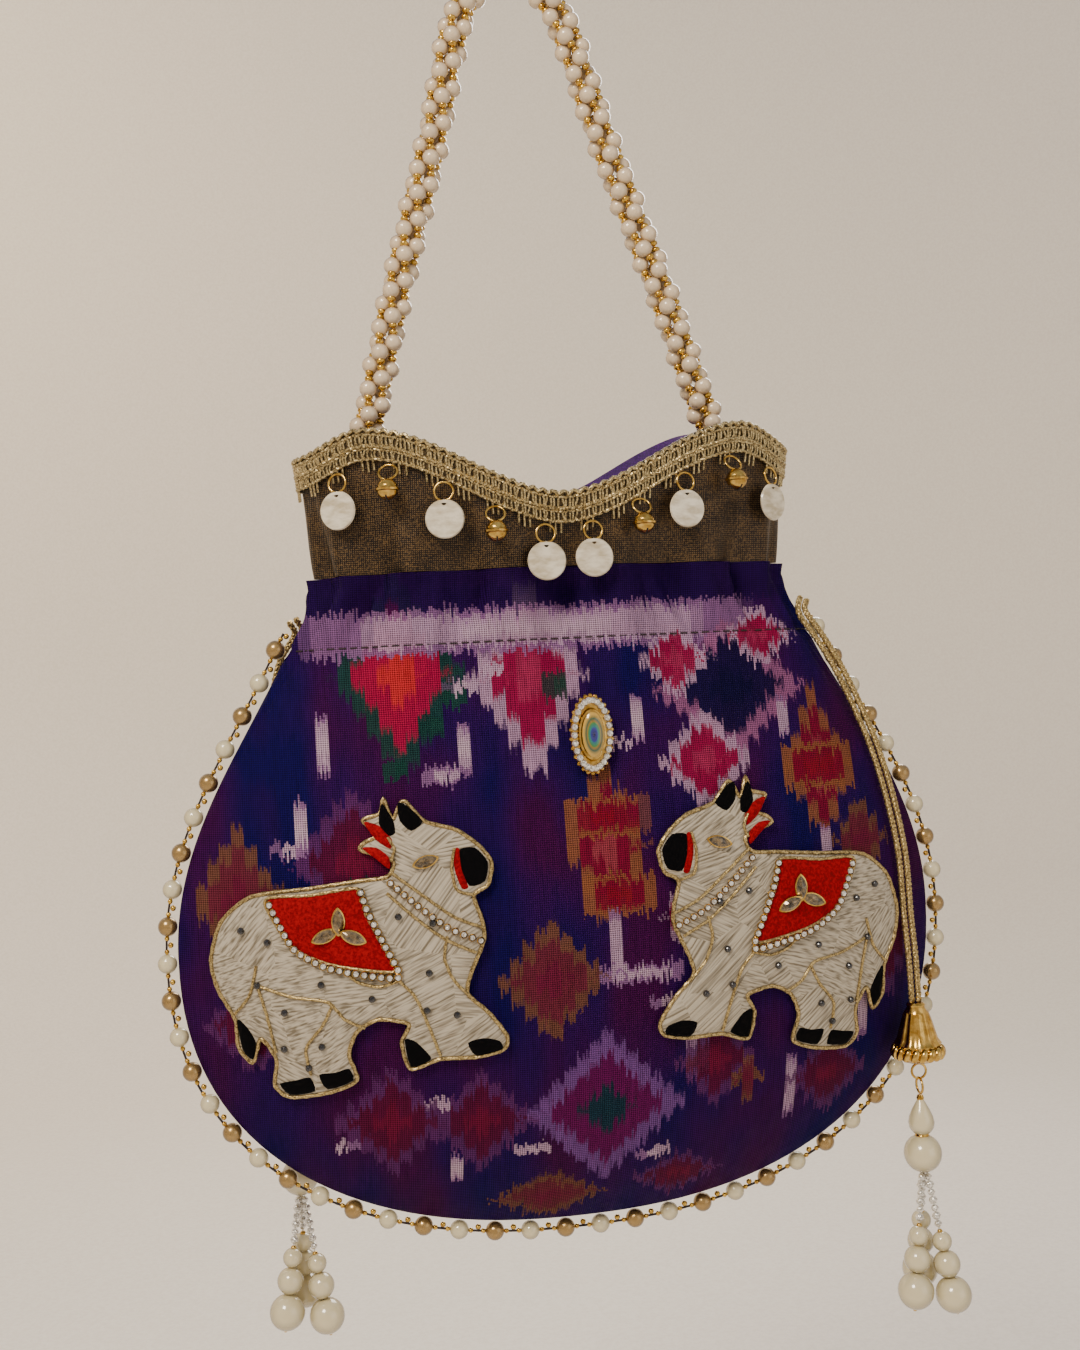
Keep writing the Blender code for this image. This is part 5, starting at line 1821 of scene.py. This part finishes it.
    def stones(self, shop: Workshop, base: float) -> None:
        """Add the cut stones, the leaf stones, the eye and the black beads.

        Args:
            shop: The workshop.
            base: How far the pad's face stands off the cloth.
        """
        form = shop.form
        builder = Builder()
        for stations, rise, pitch, radius in self.chains:
            chain = smooth_loop(stations, 12, loop=False)
            for spot in spaced([self.place(x, z, base + rise, form) for x, z in chain], pitch):
                builder.ball(spot, radius, 0, FACING, squash=0.7, rings=4, sides=8)
                claw = [(radius + 0.00008, -0.0004), (radius + 0.0002, 0.0), (radius - 0.00002, 0.0003)]
                builder.turned(spot, FACING, claw, 1, 10)
        for x, z in self.beads:
            builder.ball(self.place(x, z, base + 0.0006, form), 0.00105, 3, FACING, rings=8, sides=10)
        for x, z, turn in ((-20, 34, 90.0), (-34, 20, 200.0), (-6, 18, -25.0)):
            self.leaf(builder, self.place(x, z, base + 0.0016, form), math.radians(turn), 0.0034, 0.0016)
        self.leaf(builder, self.place(70, 90, base + 0.0006, form), math.radians(15.0), 0.0033, 0.0015)
        finishes = shop.finishes
        shop.piece(f"{self.side}_cow_stones", builder.build("stones"),
                   [finishes.crystal, finishes.gold, finishes.amber, finishes.jet], "bag", "gold_plate",
                   crease=16.0)

    def leaf(self, builder: Builder, centre: Vector, turn: float, length: float, width: float) -> None:
        """Add a leaf-shaped stone in its gilt rim.

        Args:
            builder: What collects it.
            centre: Its middle.
            turn: The way that its long side points, in the cow's own view.
            length: Half its length.
            width: Half its width.
        """
        flip = math.copysign(1.0, -self.x)
        along = Vector((flip * math.cos(turn), 0.0, math.sin(turn)))
        across = Vector((-along.z, 0.0, along.x))
        sides = 20
        points = []
        for share, rise in ((1.18, 0.0), (1.18, -0.0006), (1.0, -0.0007), (0.55, -0.0013), (0.05, -0.0015)):
            for step in range(sides):
                swing = TAU * step / sides
                pointed = abs(math.sin(swing)) ** 1.5 * math.copysign(1.0, math.sin(swing))
                points.append(centre + along * length * share * math.cos(swing)
                              + across * width * share * pointed + Vector((0.0, rise, 0.0)))
        faces = Builder.bands(5, sides)
        builder.add(points[:3 * sides], [face for face in faces if max(face) < 3 * sides], 1)
        builder.add(points[2 * sides:], Builder.bands(3, sides) + [tuple(2 * sides + s for s in range(sides))], 2)


def smooth_loop(points: tuple[Point, ...], steps: int, loop: bool = True) -> list[Point]:
    """Round a flat outline, or a line, through its points.

    Args:
        points: The points.
        steps: How many points each stretch gets.
        loop: Whether it closes on itself.

    Returns:
        The denser points.
    """
    count = len(points)
    result: list[Point] = []
    for index in range(count if loop else count - 1):
        if loop:
            quad = [points[(index + offset) % count] for offset in (-1, 0, 1, 2)]
        else:
            quad = [points[max(index - 1, 0)], points[index], points[index + 1],
                    points[min(index + 2, count - 1)]]
        before, start, end, after = (np.array(corner, float) for corner in quad)
        leave, arrive = 0.35 * (end - before), 0.35 * (after - start)
        for step in range(steps):
            t = step / steps
            spot = ((2 * t ** 3 - 3 * t ** 2 + 1) * start + (t ** 3 - 2 * t ** 2 + t) * leave
                    + (3 * t ** 2 - 2 * t ** 3) * end + (t ** 3 - t ** 2) * arrive)
            result.append((float(spot[0]), float(spot[1])))
    if not loop:
        result.append((float(points[-1][0]), float(points[-1][1])))
    return result


def edge_distance(ring: np.ndarray, x: float, z: float) -> float:
    """Return how far a place lies from a closed outline.

    Args:
        ring: The closed outline.
        x: The place across the bag.
        z: The height.

    Returns:
        The distance.
    """
    start = ring
    run = np.roll(ring, -1, axis=0) - ring
    offset = np.array((x, z)) - start
    share = np.clip((offset * run).sum(1) / np.maximum((run * run).sum(1), 1e-9), 0.0, 1.0)
    return float(np.sqrt(((offset - share[:, None] * run) ** 2).sum(1)).min())


@dataclass
class Brooch:
    """The oval brooch: an enamelled eye in two rings of cut stones."""

    stones: int = 26
    stone_radius: float = 0.00105
    grain_radius: float = 0.0007
    sides: int = 48

    def build(self, shop: Workshop) -> None:
        """Build the setting, its stones and the enamel.

        Args:
            shop: The workshop.
        """
        centre, half, setting = self.dome("brooch_setting", ((0.94, 0.0), (0.96, 0.35), (0.90, 0.55), (0.66, 0.55),
                                                             (0.62, 0.95), (0.55, 1.0), (0.0, 0.7)))
        for step in range(self.stones):
            turn = TAU * step / self.stones
            spot = centre + Vector((half.x * 0.80 * math.cos(turn), -half.y * 0.72, half.z * 0.84 * math.sin(turn)))
            setting.ball(spot, self.stone_radius, 1, FACING, squash=0.7, rings=4, sides=8)
            turn += 0.1
            edge = centre + Vector((half.x * 0.93 * math.cos(turn), -half.y * 0.35, half.z * 0.96 * math.sin(turn)))
            setting.ball(edge, self.grain_radius, 0, FACING, rings=6, sides=8)
        shop.piece("brooch_gilt", setting.build("brooch"), [shop.finishes.gold, shop.finishes.crystal], "bag",
                   "gold_plate", "brooch_setting", crease=25.0)
        stone = self.dome("brooch_stone", ((1.0, 0.0), (1.0, 0.3), (0.86, 0.66), (0.6, 0.88), (0.3, 0.98),
                                           (0.0, 1.0)))[2]
        shop.piece("brooch_enamel", stone.build("enamel"), [shop.finishes.enamel], "bag", "enamel_blue",
                   "brooch_stone")

    def dome(self, node: str, rows: tuple[Point, ...]) -> tuple[Vector, Vector, Builder]:
        """Start an oval form that stands on the back of a solid's box and fills it.

        Args:
            node: The solid.
            rows: Rings from its foot, as shares of the box's width and of its depth.

        Returns:
            The middle of the box's back, half its width with its depth and half its height, and the form.
        """
        low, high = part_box(node)
        centre = Vector(((low.x + high.x) / 2.0, high.y, (low.z + high.z) / 2.0))
        half = Vector(((high.x - low.x) / 2.0, high.y - low.y, (high.z - low.z) / 2.0))
        builder = Builder()
        turns = [TAU * step / self.sides for step in range(self.sides)]
        builder.add([centre + Vector((half.x * share * math.cos(turn), -half.y * rise,
                                      half.z * share * math.sin(turn))) for share, rise in rows for turn in turns],
                    Builder.bands(len(rows), self.sides))
        return centre, half, builder


FRONT_CORD = ((0.0831, -0.0046, -0.1955), (0.0815, -0.0073, -0.2), (0.0865, -0.0073, -0.2075),
              (0.092, -0.0073, -0.217), (0.0975, -0.0073, -0.229), (0.102, -0.0086, -0.242),
              (0.1055, -0.0108, -0.258), (0.108, -0.0122, -0.276), (0.109, -0.0118, -0.295),
              (0.1095, -0.0126, -0.308), (0.1095, -0.0135, -0.321))
BACK_CORD = ((-0.0731, 0.0046, -0.1955), (-0.0715, 0.0073, -0.2), (-0.0765, 0.0073, -0.2085),
             (-0.079, 0.0097, -0.22), (-0.0795, 0.0143, -0.236), (-0.079, 0.0181, -0.255),
             (-0.0788, 0.0208, -0.278), (-0.0788, 0.0236, -0.2995), (-0.0788, 0.0265, -0.321))


def main() -> None:
    """Build the studio and every piece of the bag, in order."""
    logging.basicConfig(level=logging.INFO, format="%(name)s %(message)s")
    shop = Workshop(Finishes(), ClothForm())
    Studio().build(shop)
    joints = {joint["child"]: joint for joint in frame["joints"]}
    for side, stations in (("front", FRONT_CORD), ("back", BACK_CORD)):
        DrawCord(side, stations).build(shop, Tassel(side).build(shop, joints))
    BagCloth().build(shop)
    MouthLace().build(shop)
    PearlHandle().build(shop)
    SeamBeads().build(shop)
    for node in sorted(frame["nodes"]):
        if "_disc_" in node or "_bell_" in node:
            joint = joints[f"{node}_body"]
            Charm(node, Vector(joint["pos_m"]), Vector(joint["axis"])).build(shop)
    Cow("left", -0.0645).build(shop)
    Cow("right", 0.0588).build(shop)
    Brooch().build(shop)


if __name__ == "__main__":
    main()
